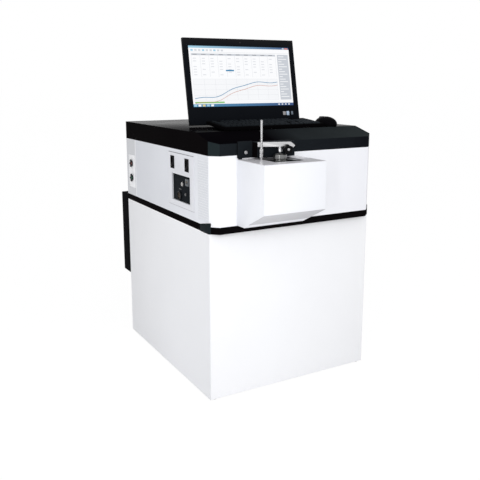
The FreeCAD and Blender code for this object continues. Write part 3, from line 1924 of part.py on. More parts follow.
def mouse():
    floor = overlap(
        "floor_slice",
        mouse_egg("floor_egg", "0"),
        mouse_slab("floor_slab", None, None, ("mouse_bottom", "mouse_base_height")),
    )
    skates = []
    for k, y in enumerate(("-mouse_length * 0.3", "mouse_length * 0.3")):
        skates.append(
            block(
                f"skate_{k}",
                middle("0", "mouse_width * 0.4"),
                middle(y, "8"),
                ("0", "mouse_bottom + 1"),
            ),
        )
    wheel_z = "mouse_height + wheel_rise - wheel_radius - 3.5"
    posts = []
    for side in (-1, 1):
        near = f"{side} * wheel_post_inset"
        far = f"{side} * (wheel_post_inset + wheel_post_wall)"
        posts.append(
            block(
                f"wheel_post_{side + 1}",
                (near, far) if side > 0 else (far, near),
                middle("wheel_y", "4 * wheel_axle_radius"),
                ("mouse_base_height - 1", f"{wheel_z} + 2 * wheel_axle_radius"),
            ),
        )
    axle_hole = rod(
        "axle_hole",
        "x",
        "wheel_axle_radius + running_fit",
        "-mouse_width",
        "wheel_y",
        wheel_z,
        "2 * mouse_width",
    )
    solid_floor = joined("mouse_floor_solid", floor, *skates, *posts)
    node(set_mouse(cut("mouse_floor", solid_floor, axle_hole)), "mouse_base")
    wheel_slot = mouse_slab(
        "wheel_slot",
        middle("0", "wheel_width + 1.6"),
        middle("wheel_y", "2 * wheel_radius + 3"),
        ("mouse_base_height", "mouse_height + 5"),
    )
    low = overlap(
        "shell_low",
        mouse_shell_solid("low"),
        mouse_slab("low_slab", None, None, ("mouse_base_height", "button_edge_z - button_drop")),
    )
    rear = overlap(
        "shell_rear",
        mouse_shell_solid("rear"),
        mouse_slab(
            "rear_slab",
            None,
            ("-mouse_length", "mouse_seam_y - mouse_seam"),
            ("button_edge_z - button_drop - 1", "mouse_height + 5"),
        ),
    )
    node(set_mouse(joined("mouse_cover", low, rear)), "mouse_shell")
    sides = {
        "mouse_left_button": ("-mouse_width", "-mouse_seam / 2"),
        "mouse_right_button": ("mouse_seam / 2", "mouse_width"),
    }
    for label, x in sides.items():
        piece = overlap(
            label + "_blank",
            mouse_shell_solid(label),
            mouse_slab(
                label + "_slab",
                x,
                ("mouse_seam_y", "mouse_length"),
                ("button_edge_z", "mouse_height + 5"),
            ),
        )
        node(set_mouse(cut(label + "_solid", piece, wheel_slot)), label)
    wheel = rod("wheel", "x", "wheel_radius", "-wheel_width / 2", "wheel_y", wheel_z, "wheel_width")
    axle = rod(
        "wheel_axle",
        "x",
        "wheel_axle_radius",
        "-wheel_axle_length / 2",
        "wheel_y",
        wheel_z,
        "wheel_axle_length",
    )
    node(set_mouse(joined("wheel_unit", wheel, axle)), "mouse_wheel")


# ---------------------------------------------------------------- build, check and write

levelling_feet()
cabinet_frame()
base_plate()
cabinet_panels()
rear_duct()
cooling_fan()
mains_inlet()
inner_parts()
head_base()
head_panels()
head_lid()
corner_guards()
connection_plate()
bay_panel()
bay_connectors()
switches()
hose_ports()
stand_housing()
stand_surface()
seat_ring()
measuring_cell()
clamp_housing()
clamp_rod()
rod_nuts()
clamp_arm()
press_pin()
clamp_knob()
fixing_screws()
display_front()
display_back()
display_foot()
keyboard_keys()
keyboard_base()
keyboard_legs()
mouse()
doc.recompute()

faults = [item.Name for item in doc.Objects if {"Invalid", "Error"} & set(item.State)]
for item in nodes:
    if item.Shape.isNull() or not item.Shape.isValid() or not item.Shape.Solids:
        faults.append(item.Label + " has no valid solid")
if faults:
    raise RuntimeError("these pieces failed: " + ", ".join(faults))

os.makedirs("parts", exist_ok=True)
for item in nodes:
    item.Shape.exportStep(f"parts/{item.Label}.step")
whole = Part.Compound([item.Shape for item in nodes])
print(len(nodes), "nodes", whole.BoundBox)
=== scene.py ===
"""A density meter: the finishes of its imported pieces, and the turned, moulded and lit pieces around them."""

import json
import math

import bmesh
import bpy
from mathutils import Matrix, Vector


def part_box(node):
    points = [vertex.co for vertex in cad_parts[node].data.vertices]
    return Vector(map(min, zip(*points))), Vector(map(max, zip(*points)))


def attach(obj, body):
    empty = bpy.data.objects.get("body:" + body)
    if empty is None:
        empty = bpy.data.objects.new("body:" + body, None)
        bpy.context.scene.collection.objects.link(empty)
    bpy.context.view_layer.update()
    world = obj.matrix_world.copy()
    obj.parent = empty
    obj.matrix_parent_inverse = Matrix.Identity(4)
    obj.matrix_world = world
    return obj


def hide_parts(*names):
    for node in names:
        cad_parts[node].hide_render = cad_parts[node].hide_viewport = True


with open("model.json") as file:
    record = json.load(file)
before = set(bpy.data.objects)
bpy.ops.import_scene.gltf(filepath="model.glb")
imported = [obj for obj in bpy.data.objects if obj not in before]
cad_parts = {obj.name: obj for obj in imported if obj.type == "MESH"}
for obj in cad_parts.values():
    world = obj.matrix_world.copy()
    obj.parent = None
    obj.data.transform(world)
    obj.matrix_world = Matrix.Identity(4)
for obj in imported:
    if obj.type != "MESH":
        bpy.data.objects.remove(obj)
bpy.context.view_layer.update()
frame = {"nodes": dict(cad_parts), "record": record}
nodes = frame["nodes"]
scene = bpy.context.scene

MM = 0.001
CONSOLE = "console"

# Places in the row frame, in millimetres: X to the right, Y to the back, Z up.
ROD = (-196.7, -431.0)
SEAT = (-131.6, -449.0)
PLATE_FACE = -361.5
BAY_FLOOR = -354.0
BAY_ACROSS, BAY_UP = (-197, -32), (719, 824)
SWITCH_Y = {"main_rocker": -172.5, "pump_rocker": -42.5}
SWITCH_AXIS_X, SWITCH_AXIS_Z = -355, 866
PORT_Y, LOW_PORT_Z, HIGH_PORT_Z = 408, 746, 811
FEET_X, FEET_Y = (-338, 338), (-324, 452)
REAR_FACE = 474
ROCKER_LEAN = 8

# The vents on the head's sides: rows of slots, and small holes punched round them, from FIELD_REAR to
# the front and from FIELD_FOOT upwards.
SLOT_FOOT, SLOT_PITCH, SLOT_ROWS = 690, 9, 24
HOLES_PER_METRE = (400, 160, 222)
HOLE_RIM = (0.32, 0.44)
FIELD_REAR, FIELD_FOOT = (-259, -263), (676, 682)
HOLE_TONE = 1.04

# How far a softened corner leans from the face beside it, as cosines: wholly worn, and not worn.
CORNER_LEAN = (0.75, 0.995)


# ---------------------------------------------------------------- finishes


class Finish:
    """A material in the making: its shader, and the nodes that give it grain, wear and soft corners."""

    def __init__(self, name, colour, roughness, metallic=0.0, specular=0.5):
        self.material = bpy.data.materials.new(name)
        self.material.use_nodes = True
        self.tree = self.material.node_tree
        self.shader = self.tree.nodes["Principled BSDF"]
        self.shader.inputs["Base Color"].default_value = (*colour, 1)
        self.shader.inputs["Roughness"].default_value = roughness
        self.shader.inputs["Metallic"].default_value = metallic
        self.shader.inputs["Specular IOR Level"].default_value = specular
        self.colour = colour
        self.roughness = roughness
        self.place = self.add("ShaderNodeTexCoord").outputs["Object"]
        self.normal = None

    def add(self, kind, **settings):
        node = self.tree.nodes.new(kind)
        for key, number in settings.items():
            setattr(node, key, number)
        return node

    def link(self, source, target):
        self.tree.links.new(source, target)

    def stretched(self, scale, turn=(0, 0, 0)):
        """Object coordinates, turned and scaled."""
        mapping = self.add("ShaderNodeMapping", vector_type="TEXTURE")
        mapping.inputs["Rotation"].default_value = turn
        mapping.inputs["Scale"].default_value = [1 / number for number in scale]
        self.link(self.place, mapping.inputs["Vector"])
        return mapping.outputs["Vector"]

    def noise(self, scale, detail=2.0, rough=0.5, where=None):
        node = self.add("ShaderNodeTexNoise")
        node.inputs["Scale"].default_value = scale
        node.inputs["Detail"].default_value = detail
        node.inputs["Roughness"].default_value = rough
        self.link(where or self.place, node.inputs["Vector"])
        return node.outputs["Fac"]

    def between(self, source, low, high, start=0.3, end=0.7):
        """Spreads a pattern's values from start to end over low to high."""
        node = self.add("ShaderNodeMapRange")
        node.inputs["From Min"].default_value = start
        node.inputs["From Max"].default_value = end
        node.inputs["To Min"].default_value = low
        node.inputs["To Max"].default_value = high
        self.link(source, node.inputs["Value"])
        return node.outputs["Result"]

    def along(self, axis, start, end):
        """A share from 0 to 1 between two places along an axis, in millimetres."""
        parts = self.add("ShaderNodeSeparateXYZ")
        self.link(self.place, parts.inputs[0])
        return self.between(parts.outputs[axis], 0.0, 1.0, start * MM, end * MM)

    def perforations(self):
        """Rows of tiny punched holes in the vent's field, near the front of the head's sides."""
        cells = self.add("ShaderNodeTexVoronoi", feature="F1")
        cells.inputs["Scale"].default_value = 1.0
        cells.inputs["Randomness"].default_value = 0.0
        self.link(self.stretched(HOLES_PER_METRE), cells.inputs["Vector"])
        holes = self.between(cells.outputs["Distance"], 1.0, 0.0, *HOLE_RIM)
        field = self.product(self.along("Y", *FIELD_REAR), self.along("Z", *FIELD_FOOT))
        return self.product(holes, field)

    def product(self, first, second):
        node = self.add("ShaderNodeMath", operation="MULTIPLY")
        self.link(first, node.inputs[0])
        self.link(second, node.inputs[1])
        return node.outputs[0]

    def bump(self, height, depth, strength=1.0):
        """Adds a relief of that depth, in metres, on top of the reliefs before it."""
        node = self.add("ShaderNodeBump")
        node.inputs["Strength"].default_value = strength
        node.inputs["Distance"].default_value = depth
        self.link(height, node.inputs["Height"])
        if self.normal:
            self.link(self.normal, node.inputs["Normal"])
        self.normal = node.outputs["Normal"]

    def soften(self, radius, wear=None, wear_share=0.5):
        """Rounds the look of sharp corners, and lets the colour change along them."""
        corner = self.add("ShaderNodeBevel", samples=4)
        corner.inputs["Radius"].default_value = radius
        self.normal = corner.outputs["Normal"]
        if wear:
            surface = self.add("ShaderNodeNewGeometry")
            dot = self.add("ShaderNodeVectorMath", operation="DOT_PRODUCT")
            self.link(corner.outputs["Normal"], dot.inputs[0])
            self.link(surface.outputs["True Normal"], dot.inputs[1])
            worn = self.between(dot.outputs["Value"], wear_share, 0.0, *CORNER_LEAN)
            broken = self.product(worn, self.between(self.noise(160, 3), 0.2, 1.0))
            self.tint(broken, wear)

    def tint(self, share, colour):
        """Mixes another colour in by a share that varies over the surface."""
        mix = self.add("ShaderNodeMix", data_type="RGBA")
        socket = self.shader.inputs["Base Color"]
        if socket.links:
            self.link(socket.links[0].from_socket, mix.inputs["A"])
        else:
            mix.inputs["A"].default_value = (*self.colour, 1)
        mix.inputs["B"].default_value = (*colour, 1)
        self.link(share, mix.inputs["Factor"])
        self.link(mix.outputs["Result"], socket)

    def vary_roughness(self, scale, spread, where=None):
        low, high = self.roughness - spread, self.roughness + spread
        rough = self.between(self.noise(scale, 3, 0.6, where), max(low, 0.02), min(high, 1))
        self.link(rough, self.shader.inputs["Roughness"])

    def done(self):
        if self.normal:
            self.link(self.normal, self.shader.inputs["Normal"])
        return self.material


def toned(colour, factor, lift=0.0):
    """A colour made lighter or darker, then lifted evenly."""
    return [min(channel * factor + lift, 1) for channel in colour]


def powder_coat(
    name, colour, roughness=0.45, specular=0.4, shade=0.94, peel=0.00002, painted_light_ramps=(), holes=False
):
    """Baked powder paint: a fine orange peel and faint cloudiness, with painted light and shade ramped along
    an axis where ramps are given.
    """
    finish = Finish(name, colour, roughness, specular=specular)
    for axis, start, end, tone in painted_light_ramps:
        finish.tint(finish.along(axis, start, end), tone)
    if holes:
        finish.tint(finish.perforations(), toned(colour, HOLE_TONE))
    finish.soften(0.0012)
    finish.bump(finish.noise(700, 3, 0.55), peel)
    darker = toned(colour, shade)
    finish.tint(finish.between(finish.noise(3.1, 4, 0.6), 0.0, 0.35), darker)
    finish.tint(finish.between(finish.noise(420, 2, 0.5), 0.0, 0.12, 0.55, 0.8), darker)
    finish.vary_roughness(5.0, 0.06)
    return finish.done()


def moulded(
    name, colour, roughness=0.55, specular=0.3, grain=1400, depth=0.00003, lift=1.35, painted_light_ramps=()
):
    """Spark-grained moulding: a fine pebble, rubbed a little lighter on its corners."""
    finish = Finish(name, colour, roughness, specular=specular)
    # Painted light and shade, ramped along an axis where ramps are given.
    for axis, start, end, tone in painted_light_ramps:
        finish.tint(finish.along(axis, start, end), tone)
    finish.soften(0.0007, wear=toned(colour, lift, 0.002), wear_share=0.4)
    cells = finish.add("ShaderNodeTexVoronoi", feature="SMOOTH_F1")
    cells.inputs["Scale"].default_value = grain
    finish.link(finish.place, cells.inputs["Vector"])
    finish.bump(cells.outputs["Distance"], depth, 0.7)
    finish.tint(finish.between(finish.noise(9, 4, 0.6), 0.0, 0.5), toned(colour, lift))
    finish.vary_roughness(24, 0.07)
    return finish.done()


def polished(name, colour, roughness, grain=(3000, 3000, 30), depth=0.000004, spread=0.06):
    """Turned, ground or plated metal: fine tool marks, with faint smears."""
    finish = Finish(name, colour, roughness, metallic=1.0)
    finish.soften(0.0004)
    marks = finish.noise(1.0, 3, 0.6, finish.stretched(grain))
    finish.bump(marks, depth)
    finish.tint(finish.between(marks, 0.0, 0.35, 0.4, 0.7), toned(colour, 0.82))
    finish.tint(finish.between(finish.noise(90, 4, 0.6), 0.0, 0.2), toned(colour, 0.88))
    finish.vary_roughness(140, spread)
    return finish.done()


def gloss(name, colour, roughness, specular=0.5, shade=1.25, coat=0.0):
    """Glossy paint or plastic: a gentle waviness, a few dust specks and wiped smears."""
    finish = Finish(name, colour, roughness, specular=specular)
    finish.shader.inputs["Coat Weight"].default_value = coat
    finish.shader.inputs["Coat Roughness"].default_value = 0.06
    finish.soften(0.0006)
    finish.bump(finish.noise(60, 2, 0.4), 0.00001)
    finish.tint(finish.between(finish.noise(5, 4, 0.6), 0.0, 0.5), toned(colour, shade, 0.002))
    dust = finish.between(finish.noise(1500, 1, 0.3), 0.0, 0.5, 0.74, 0.8)
    finish.tint(dust, toned(colour, 1, 0.12))
    wiped = finish.stretched((3, 30, 8), (0, 0, 0.5))
    finish.vary_roughness(1.0, 0.035, wiped)
    return finish.done()


def rubber(name, colour):
    """Matt rubber, dusty and paler where it is rubbed."""
    finish = Finish(name, colour, 0.85, specular=0.25)
    finish.soften(0.0008, wear=toned(colour, 1.8, 0.01), wear_share=0.6)
    finish.bump(finish.noise(1800, 3, 0.6), 0.00006)
    finish.tint(finish.between(finish.noise(30, 4, 0.7), 0, 0.6), toned(colour, 1.7, 0.01))
    finish.vary_roughness(60, 0.08)
    return finish.done()


def circuit_board(name):
    """Green solder mask over copper tracks, with pale pads."""
    finish = Finish(name, (0.012, 0.11, 0.045), 0.35)
    bricks = finish.add("ShaderNodeTexBrick", offset=0.5, squash=0.6)
    bricks.inputs["Scale"].default_value = 160
    bricks.inputs["Mortar Size"].default_value = 0.03
    finish.link(finish.place, bricks.inputs["Vector"])
    finish.tint(bricks.outputs["Fac"], (0.05, 0.26, 0.10))
    finish.tint(finish.between(finish.noise(420, 1), 0, 0.9, 0.68, 0.72), (0.75, 0.72, 0.55))
    finish.bump(bricks.outputs["Fac"], 0.00004)
    finish.vary_roughness(50, 0.08)
    return finish.done()


def lit_screen(name):
    """A lit picture: its colours come with the mesh, behind a fine grid of pixels and a smooth front."""
    finish = Finish(name, (0.02, 0.021, 0.023), 0.22, specular=0.35)
    picture = finish.add("ShaderNodeAttribute", attribute_name="picture")
    rows = finish.add("ShaderNodeTexWave", wave_type="BANDS", bands_direction="X")
    rows.inputs["Scale"].default_value = 620
    finish.link(finish.place, rows.inputs["Vector"])
    lines = finish.add("ShaderNodeTexWave", wave_type="BANDS", bands_direction="Z")
    lines.inputs["Scale"].default_value = 620
    finish.link(finish.place, lines.inputs["Vector"])
    grid = finish.product(rows.outputs["Fac"], lines.outputs["Fac"])
    level = finish.between(grid, 0.93, 1.0, 0.0, 0.4)
    uneven = finish.between(finish.noise(4, 2), 0.97, 1.0)
    strength = finish.product(level, uneven)
    lit = finish.add("ShaderNodeVectorMath", operation="SCALE")
    finish.link(picture.outputs["Color"], lit.inputs[0])
    finish.link(strength, lit.inputs["Scale"])
    finish.link(lit.outputs["Vector"], finish.shader.inputs["Emission Color"])
    finish.shader.inputs["Emission Strength"].default_value = 1.0
    return finish.done()


WHITE = (0.872, 0.880, 0.912)
MOUSE_BLACK = (0.0030, 0.0028, 0.0034)
EVEN_GRAIN = (900, 900, 900)

white_paint = powder_coat("white_powder_coat", WHITE)
front_white = powder_coat("front_white_coat", (0.886, 0.892, 0.915))
# The left panel's white, with painted shade darkening it towards the front edge and a painted highlight along
# its top edge.
left_white_painted_light = powder_coat(
    "left_panel_coat_painted_light",
    (0.868, 0.876, 0.905),
    painted_light_ramps=[("Y", -60, -346, (0.800, 0.808, 0.835)), ("Z", 633, 637, (0.955, 0.96, 0.97))],
)
# The head's pearl sides, with painted light growing towards the front and again near the front edge, and
# painted shade on the rear corner strip behind Y 370.
side_paint = powder_coat(
    "pearl_coat_painted_light",
    (0.665, 0.685, 0.730),
    0.5,
    painted_light_ramps=[
        ("Y", 474, -200, (0.800, 0.815, 0.865)),
        ("Y", -225, -262, (0.850, 0.868, 0.915)),
        ("Y", 364, 370, (0.630, 0.640, 0.665)),
    ],
    holes=True,
)
plate_paint = powder_coat("plate_powder_coat", (0.745, 0.755, 0.80), 0.4)
stand_paint = powder_coat("stand_white_coat", (0.836, 0.850, 0.892), 0.42)
# The head's white front, with painted shade darkening it towards the right.
head_white = powder_coat("head_white_coat_painted_shade", WHITE, painted_light_ramps=[("X", -100, 360, (0.822, 0.830, 0.880))])
black_paint = powder_coat("black_powder_coat", (0.0034, 0.0028, 0.0031), 0.6, 0.0012, 1.6)
duct_paint = powder_coat("black_duct_coat", (0.0062, 0.0062, 0.0070), 0.6, 0.002, 1.5)
# A copy of the lid's black paint for its slope, painted lighter towards the right in two steps as painted
# reflection.
slope_coat = powder_coat(
    "lid_slope_painted_reflection",
    (0.0022, 0.0018, 0.0026),
    0.5,
    0.0002,
    1.3,
    painted_light_ramps=[("X", -110, 20, (0.0200, 0.0240, 0.0265)), ("X", 40, 260, (0.0300, 0.0365, 0.0385))],
)
# A lighter, lit copy of the black paint, for the lid's front, the clamp box and the bay's panel, with painted
# shade darkening it towards the right.
front_black = powder_coat(
    "black_coat_painted_lit",
    (0.0098, 0.0122, 0.0148),
    0.55,
    0.015,
    1.4,
    painted_light_ramps=[("X", -40, 330, (0.0030, 0.0032, 0.0050))],
)
# A lighter, lit copy of the black paint for the lid's corner facets.
facet_coat = powder_coat("lid_corner_painted_lit", (0.0138, 0.0200, 0.0220), 0.55, 0.01, 1.3)
guard_coat = powder_coat("guard_coat", (0.0125, 0.0170, 0.0195), 0.55, 0.01, 1.3)
lid_gloss = gloss("black_lid_gloss", (0.0030, 0.0027, 0.0032), 0.20, 0.0019)
plate_gloss = gloss("black_plate_gloss", (0.0030, 0.0036, 0.0038), 0.05, 0.4)
stand_gloss = gloss("grey_stand_gloss", (0.80, 0.795, 0.835), 0.24, 0.5, 1.03, coat=0.3)
# Painted shade: grey standing for the shade on the stand's downward faces, darker still towards the left.
underside_shade_paint = powder_coat(
    "underside_coat_painted_shade", (0.585, 0.585, 0.61), 0.5, painted_light_ramps=[("X", -200, 0, (0.515, 0.515, 0.545))]
)
nickel = polished("bright_nickel", (0.62, 0.61, 0.60), 0.25, grain=EVEN_GRAIN)
satin_nickel = polished("satin_nickel", (0.16, 0.16, 0.165), 0.4, grain=EVEN_GRAIN)
socket_red = moulded("socket_liner", (0.020, 0.012, 0.012), 0.5, 0.1, lift=1.5)
hose_red = moulded("upper_hose_collar", (0.10, 0.035, 0.028), 0.45, 0.2, lift=1.4)
hose_green = moulded("lower_hose_collar", (0.02, 0.075, 0.045), 0.45, 0.2, lift=1.4)
port_grey = moulded("data_port_case", (0.11, 0.12, 0.13), 0.4, 0.2, lift=1.3)
marking = powder_coat("switch_marking", (0.022, 0.022, 0.024), 0.5, 0.02)
black_plastic = moulded("black_moulding", (0.0062, 0.0064, 0.0076), 0.5, 0.006)
# The display's black moulding, painted lighter near its top as a painted reflection.
bezel_plastic = moulded(
    "display_moulding_painted_sheen",
    (0.0050, 0.0060, 0.0080),
    0.42,
    0.012,
    grain=2200,
    depth=0.000012,
    painted_light_ramps=[("Z", 1300, 1335, (0.0120, 0.0118, 0.0132))],
)
# The keys' black moulding, painted lighter towards the right as painted light.
key_plastic = moulded(
    "key_moulding_painted_light",
    (0.0105, 0.0125, 0.0150),
    0.45,
    0.0012,
    grain=2600,
    depth=0.00001,
    painted_light_ramps=[("X", -160, 120, (0.0230, 0.0268, 0.0315))],
)
keyboard_plastic = moulded("keyboard_moulding", (0.0030, 0.0029, 0.0033), 0.5, 0.0008)
# A darker copy of the keyboard's moulding for its upright sides: painted shade.
keyboard_side = moulded("keyboard_side_painted_shade", (0.0022, 0.0019, 0.0023), 0.55, 0.0006)
# The mouse's black, with a painted sheen lighter towards its right and painted shade darker along its lowest
# rim.
mouse_plastic = moulded(
    "mouse_moulding_painted_light",
    MOUSE_BLACK,
    0.34,
    0.004,
    grain=2600,
    depth=0.00001,
    painted_light_ramps=[("X", 250, 268, (0.0130, 0.0140, 0.0160)), ("Z", 1004, 998, (0.0026, 0.0025, 0.0029))],
)
# Glossier buttons, with a painted sheen lighter towards their right.
mouse_shine = moulded(
    "mouse_button_painted_sheen",
    MOUSE_BLACK,
    0.26,
    0.012,
    grain=2600,
    depth=0.000008,
    painted_light_ramps=[("X", 250, 268, (0.0170, 0.0180, 0.0205))],
)
mouse_foot = moulded("mouse_base_moulding", (0.0028, 0.0027, 0.0031), 0.5, 0.01)
switch_plastic = moulded("switch_moulding", (0.0026, 0.0025, 0.0028), 0.3, 0.02, depth=0.00001)
knob_plastic = moulded("knob_moulding", (0.0030, 0.0032, 0.0036), 0.35, 0.06, depth=0.00001)
bright_steel = polished("bright_turned_steel", (0.50, 0.50, 0.51), 0.26)
sleeve_steel = polished("sleeve_steel", (0.80, 0.80, 0.81), 0.28)
arm_steel = polished("ground_arm_steel", (0.64, 0.64, 0.65), 0.38, grain=(60, 2500, 2500))
ring_steel = polished("ring_steel", (0.235, 0.238, 0.235), 0.26, grain=(40, 40, 2500), depth=0.000016)
zinc_steel = polished("zinc_plated_steel", (0.58, 0.59, 0.61), 0.42, grain=(400, 400, 400), spread=0.1)
dark_metal = polished("dark_nickel", (0.035, 0.036, 0.040), 0.38, grain=EVEN_GRAIN, spread=0.1)
cell_alloy = polished("machined_alloy", (0.66, 0.67, 0.69), 0.34, grain=(2000, 2000, 80))
brass = polished("brass_contacts", (0.17, 0.135, 0.075), 0.35)
foot_rubber = rubber("foot_rubber", (0.018, 0.018, 0.019))
green_board = circuit_board("green_board")
screen_light = lit_screen("lit_screen")
gauze_white = powder_coat("vent_gauze", (0.93, 0.94, 0.97), 0.6, 0.1, 0.97)
# A darker copy of the plate's paint for the bay's inner walls: painted shade.
bay_wall = powder_coat("bay_wall_painted_shade", (0.56, 0.575, 0.605), 0.5)
seal_grey = powder_coat("upper_seal", (0.20, 0.20, 0.21), 0.6)
seal_pale = powder_coat("lower_seal", (0.50, 0.505, 0.53), 0.6)
filter_mesh = moulded("dust_filter", (0.03, 0.031, 0.033), 0.7, 0.1)

finish_of = {
    "levelling_feet": foot_rubber,
    "cabinet_frame": zinc_steel,
    "base_plate": zinc_steel,
    "cabinet_left_panel": left_white_painted_light,
    "cabinet_right_panel": white_paint,
    "cabinet_front_panel": front_white,
    "cabinet_rear_panel": white_paint,
    "rear_duct": duct_paint,
    "fan_frame": black_plastic,
    "fan_rotor": black_plastic,
    "mains_inlet": switch_plastic,
    "power_supply": zinc_steel,
    "control_board": green_board,
    "head_base": black_paint,
    "head_left_panel": side_paint,
    "head_right_panel": side_paint,
    "head_front_panel": head_white,
    "head_rear_panel": side_paint,
    "head_lid": black_paint,
    "corner_guards": guard_coat,
    "connection_plate": plate_paint,
    "bay_panel": front_black,
    "bay_connectors": dark_metal,
    "main_rocker": switch_plastic,
    "pump_rocker": switch_plastic,
    "switch_housings": switch_plastic,
    "port_plate": front_white,
    "port_fittings": dark_metal,
    "stand_housing": stand_paint,
    "stand_underside": underside_shade_paint,
    "stand_top": stand_gloss,
    "sample_plate": plate_gloss,
    "seat_ring": ring_steel,
    "measuring_cell": cell_alloy,
    "clamp_housing": front_black,
    "clamp_rod": bright_steel,
    "rod_nuts": bright_steel,
    "clamp_arm": arm_steel,
    "press_pin": bright_steel,
    "clamp_knob": knob_plastic,
    "knob_spindle": bright_steel,
    "fixing_screws": zinc_steel,
    "display_bezel": bezel_plastic,
    "display_panel": bezel_plastic,
    "display_rear_cover": bezel_plastic,
    "display_button": bright_steel,
    "display_foot": black_plastic,
    "function_keys": key_plastic,
    "main_keys": key_plastic,
    "space_bar": key_plastic,
    "side_keys": key_plastic,
    "keyboard_base": keyboard_plastic,
    "keyboard_leg_left": black_plastic,
    "keyboard_leg_right": black_plastic,
    "mouse_base": mouse_foot,
    "mouse_shell": mouse_plastic,
    "mouse_left_button": mouse_shine,
    "mouse_right_button": mouse_shine,
    "mouse_wheel": foot_rubber,
}
for name, material in finish_of.items():
    nodes[name].data.materials.clear()
    nodes[name].data.materials.append(material)

record = frame["record"]
body_of_node = {
    node: body for body, members in record["behaviour"]["bodies"].items() for node in members
}


# ---------------------------------------------------------------- making pieces


def finish_piece(name, form, materials, body, stands_for=(), angle=35):
    """Turns a bmesh into a piece that rides on a body, smooth except along its real corners."""
    limit = math.radians(angle)
    for face in form.faces:
        face.smooth = True
    for edge in form.edges:
        edge.smooth = len(edge.link_faces) == 2 and edge.calc_face_angle(0) < limit
    data = bpy.data.meshes.new(name)
    form.to_mesh(data)
    form.free()
    for material in materials if isinstance(materials, (list, tuple)) else [materials]:
        data.materials.append(material)
    piece = bpy.data.objects.new(name, data)
    scene.collection.objects.link(piece)
    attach(piece, body)
    if stands_for:
        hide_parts(*stands_for)


def dressed(node, ending, form, materials, angle=35):
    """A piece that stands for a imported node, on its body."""
    finish_piece(node + ending, form, materials, body_of_node[node], [node], angle)


def merged_copy(node):
    """The node's solid with its loose triangles joined and its flat faces made whole."""
    form = bmesh.new()
    form.from_mesh(nodes[node].data)
    bmesh.ops.remove_doubles(form, verts=form.verts[:], dist=2e-6)
    bmesh.ops.dissolve_limit(
        form,
        angle_limit=math.radians(0.8),
        verts=form.verts[:],
        edges=form.edges[:],
        use_dissolve_boundaries=False,
    )
    return form


def ease(form, width, angle=28, segments=2, hollows=True):
    """Rounds every corner sharper than the angle, with or without the hollow ones."""
    limit = math.radians(angle)
    corners = [
        edge
        for edge in form.edges
        if len(edge.link_faces) == 2 and edge.calc_face_angle(0) > limit and (hollows or edge.is_convex)
    ]
    bmesh.ops.bevel(
        form,
        geom=corners,
        offset=width * MM,
        offset_type="OFFSET",
        segments=segments,
        profile=0.5,
        affect="EDGES",
        clamp_overlap=True,
        loop_slide=True,
        material=-1,
    )
    return form


def eased_piece(node, width, materials=None, angle=28, segments=2, paint=None, hollows=True):
    """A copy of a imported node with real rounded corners, which then stands for it."""
    form = ease(merged_copy(node), width, angle, segments, hollows)
    if paint:
        for face in form.faces:
            face.material_index = paint(face)
    dressed(node, "_eased", form, materials or finish_of[node], 32)


def turned(profile, steps=48):
    """A profile of (radius, height) pairs, in millimetres, spun about Z, closed on itself or on the axis."""
    form = bmesh.new()
    corners = [form.verts.new((radius * MM, 0, height * MM)) for radius, height in profile]
    edges = [form.edges.new(pair) for pair in zip(corners, corners[1:])]
    if profile[0][0] > 0 and profile[-1][0] > 0:
        edges.append(form.edges.new((corners[-1], corners[0])))
    bmesh.ops.spin(
        form,
        geom=corners + edges,
        cent=(0, 0, 0),
        axis=(0, 0, 1),
        angle=2 * math.pi,
        steps=steps,
        use_merge=True,
        use_duplicate=False,
    )
    bmesh.ops.remove_doubles(form, verts=form.verts[:], dist=1e-6)
    bmesh.ops.recalc_face_normals(form, faces=form.faces[:])
    return form


def put(form, place):
    """Moves a form from its own frame to its place in the row frame."""
    bmesh.ops.transform(form, matrix=place, verts=form.verts[:])
    return form


def at(x, y, z, axis="Z", turn=0.0):
    """A place in millimetres for a form made along Z: its Z then points along the named axis."""
    turns = {
        "Z": Matrix.Identity(4),
        "-X": Matrix.Rotation(math.radians(-90), 4, "Y"),
        "X": Matrix.Rotation(math.radians(90), 4, "Y"),
        "-Y": Matrix.Rotation(math.radians(90), 4, "X"),
        "Y": Matrix.Rotation(math.radians(-90), 4, "X"),
    }
    return Matrix.Translation(Vector((x, y, z)) * MM) @ turns[axis] @ Matrix.Rotation(turn, 4, "Z")


def slab(low, high, round_off=0.0, segments=2):
    """A box between two corners, in millimetres, with its corners rounded off."""
    form = bmesh.new()
    size = [b - a for a, b in zip(low, high)]
    middle = [(a + b) / 2 for a, b in zip(low, high)]
    scale = Matrix.Diagonal((*[number * MM for number in size], 1))
    bmesh.ops.create_cube(form, size=1.0, matrix=Matrix.Translation(Vector(middle) * MM) @ scale)
    if round_off:
        ease(form, round_off, segments=segments)
    return form


def add_form(target, source):
    """Adds one form's faces to another, keeping its material numbers."""
    data = bpy.data.meshes.new("passing")
    source.to_mesh(data)
    source.free()
    target.from_mesh(data)
    bpy.data.meshes.remove(data)
    return target


def hexagon(radius, height, place=Matrix.Identity(4)):
    """A six-sided block about Z, in millimetres across half its corners."""
    form = bmesh.new()
    bmesh.ops.create_cone(
        form,
        cap_ends=True,
        segments=6,
        radius1=radius * MM,
        radius2=radius * MM,
        depth=height * MM,
        matrix=place,
    )
    return form


def in_material(form, number):
    for face in form.faces:
        face.material_index = number
    return form


# ---------------------------------------------------------------- cabinet and head

# The lid's coats: deep black and gloss, with lit and shaded copies of one black paint as painted light and
# shade.
LID_FINISHES = [black_paint, lid_gloss, front_black, slope_coat, facet_coat]
SIDE, TOP, FRONT, SLOPE, CORNER = range(5)


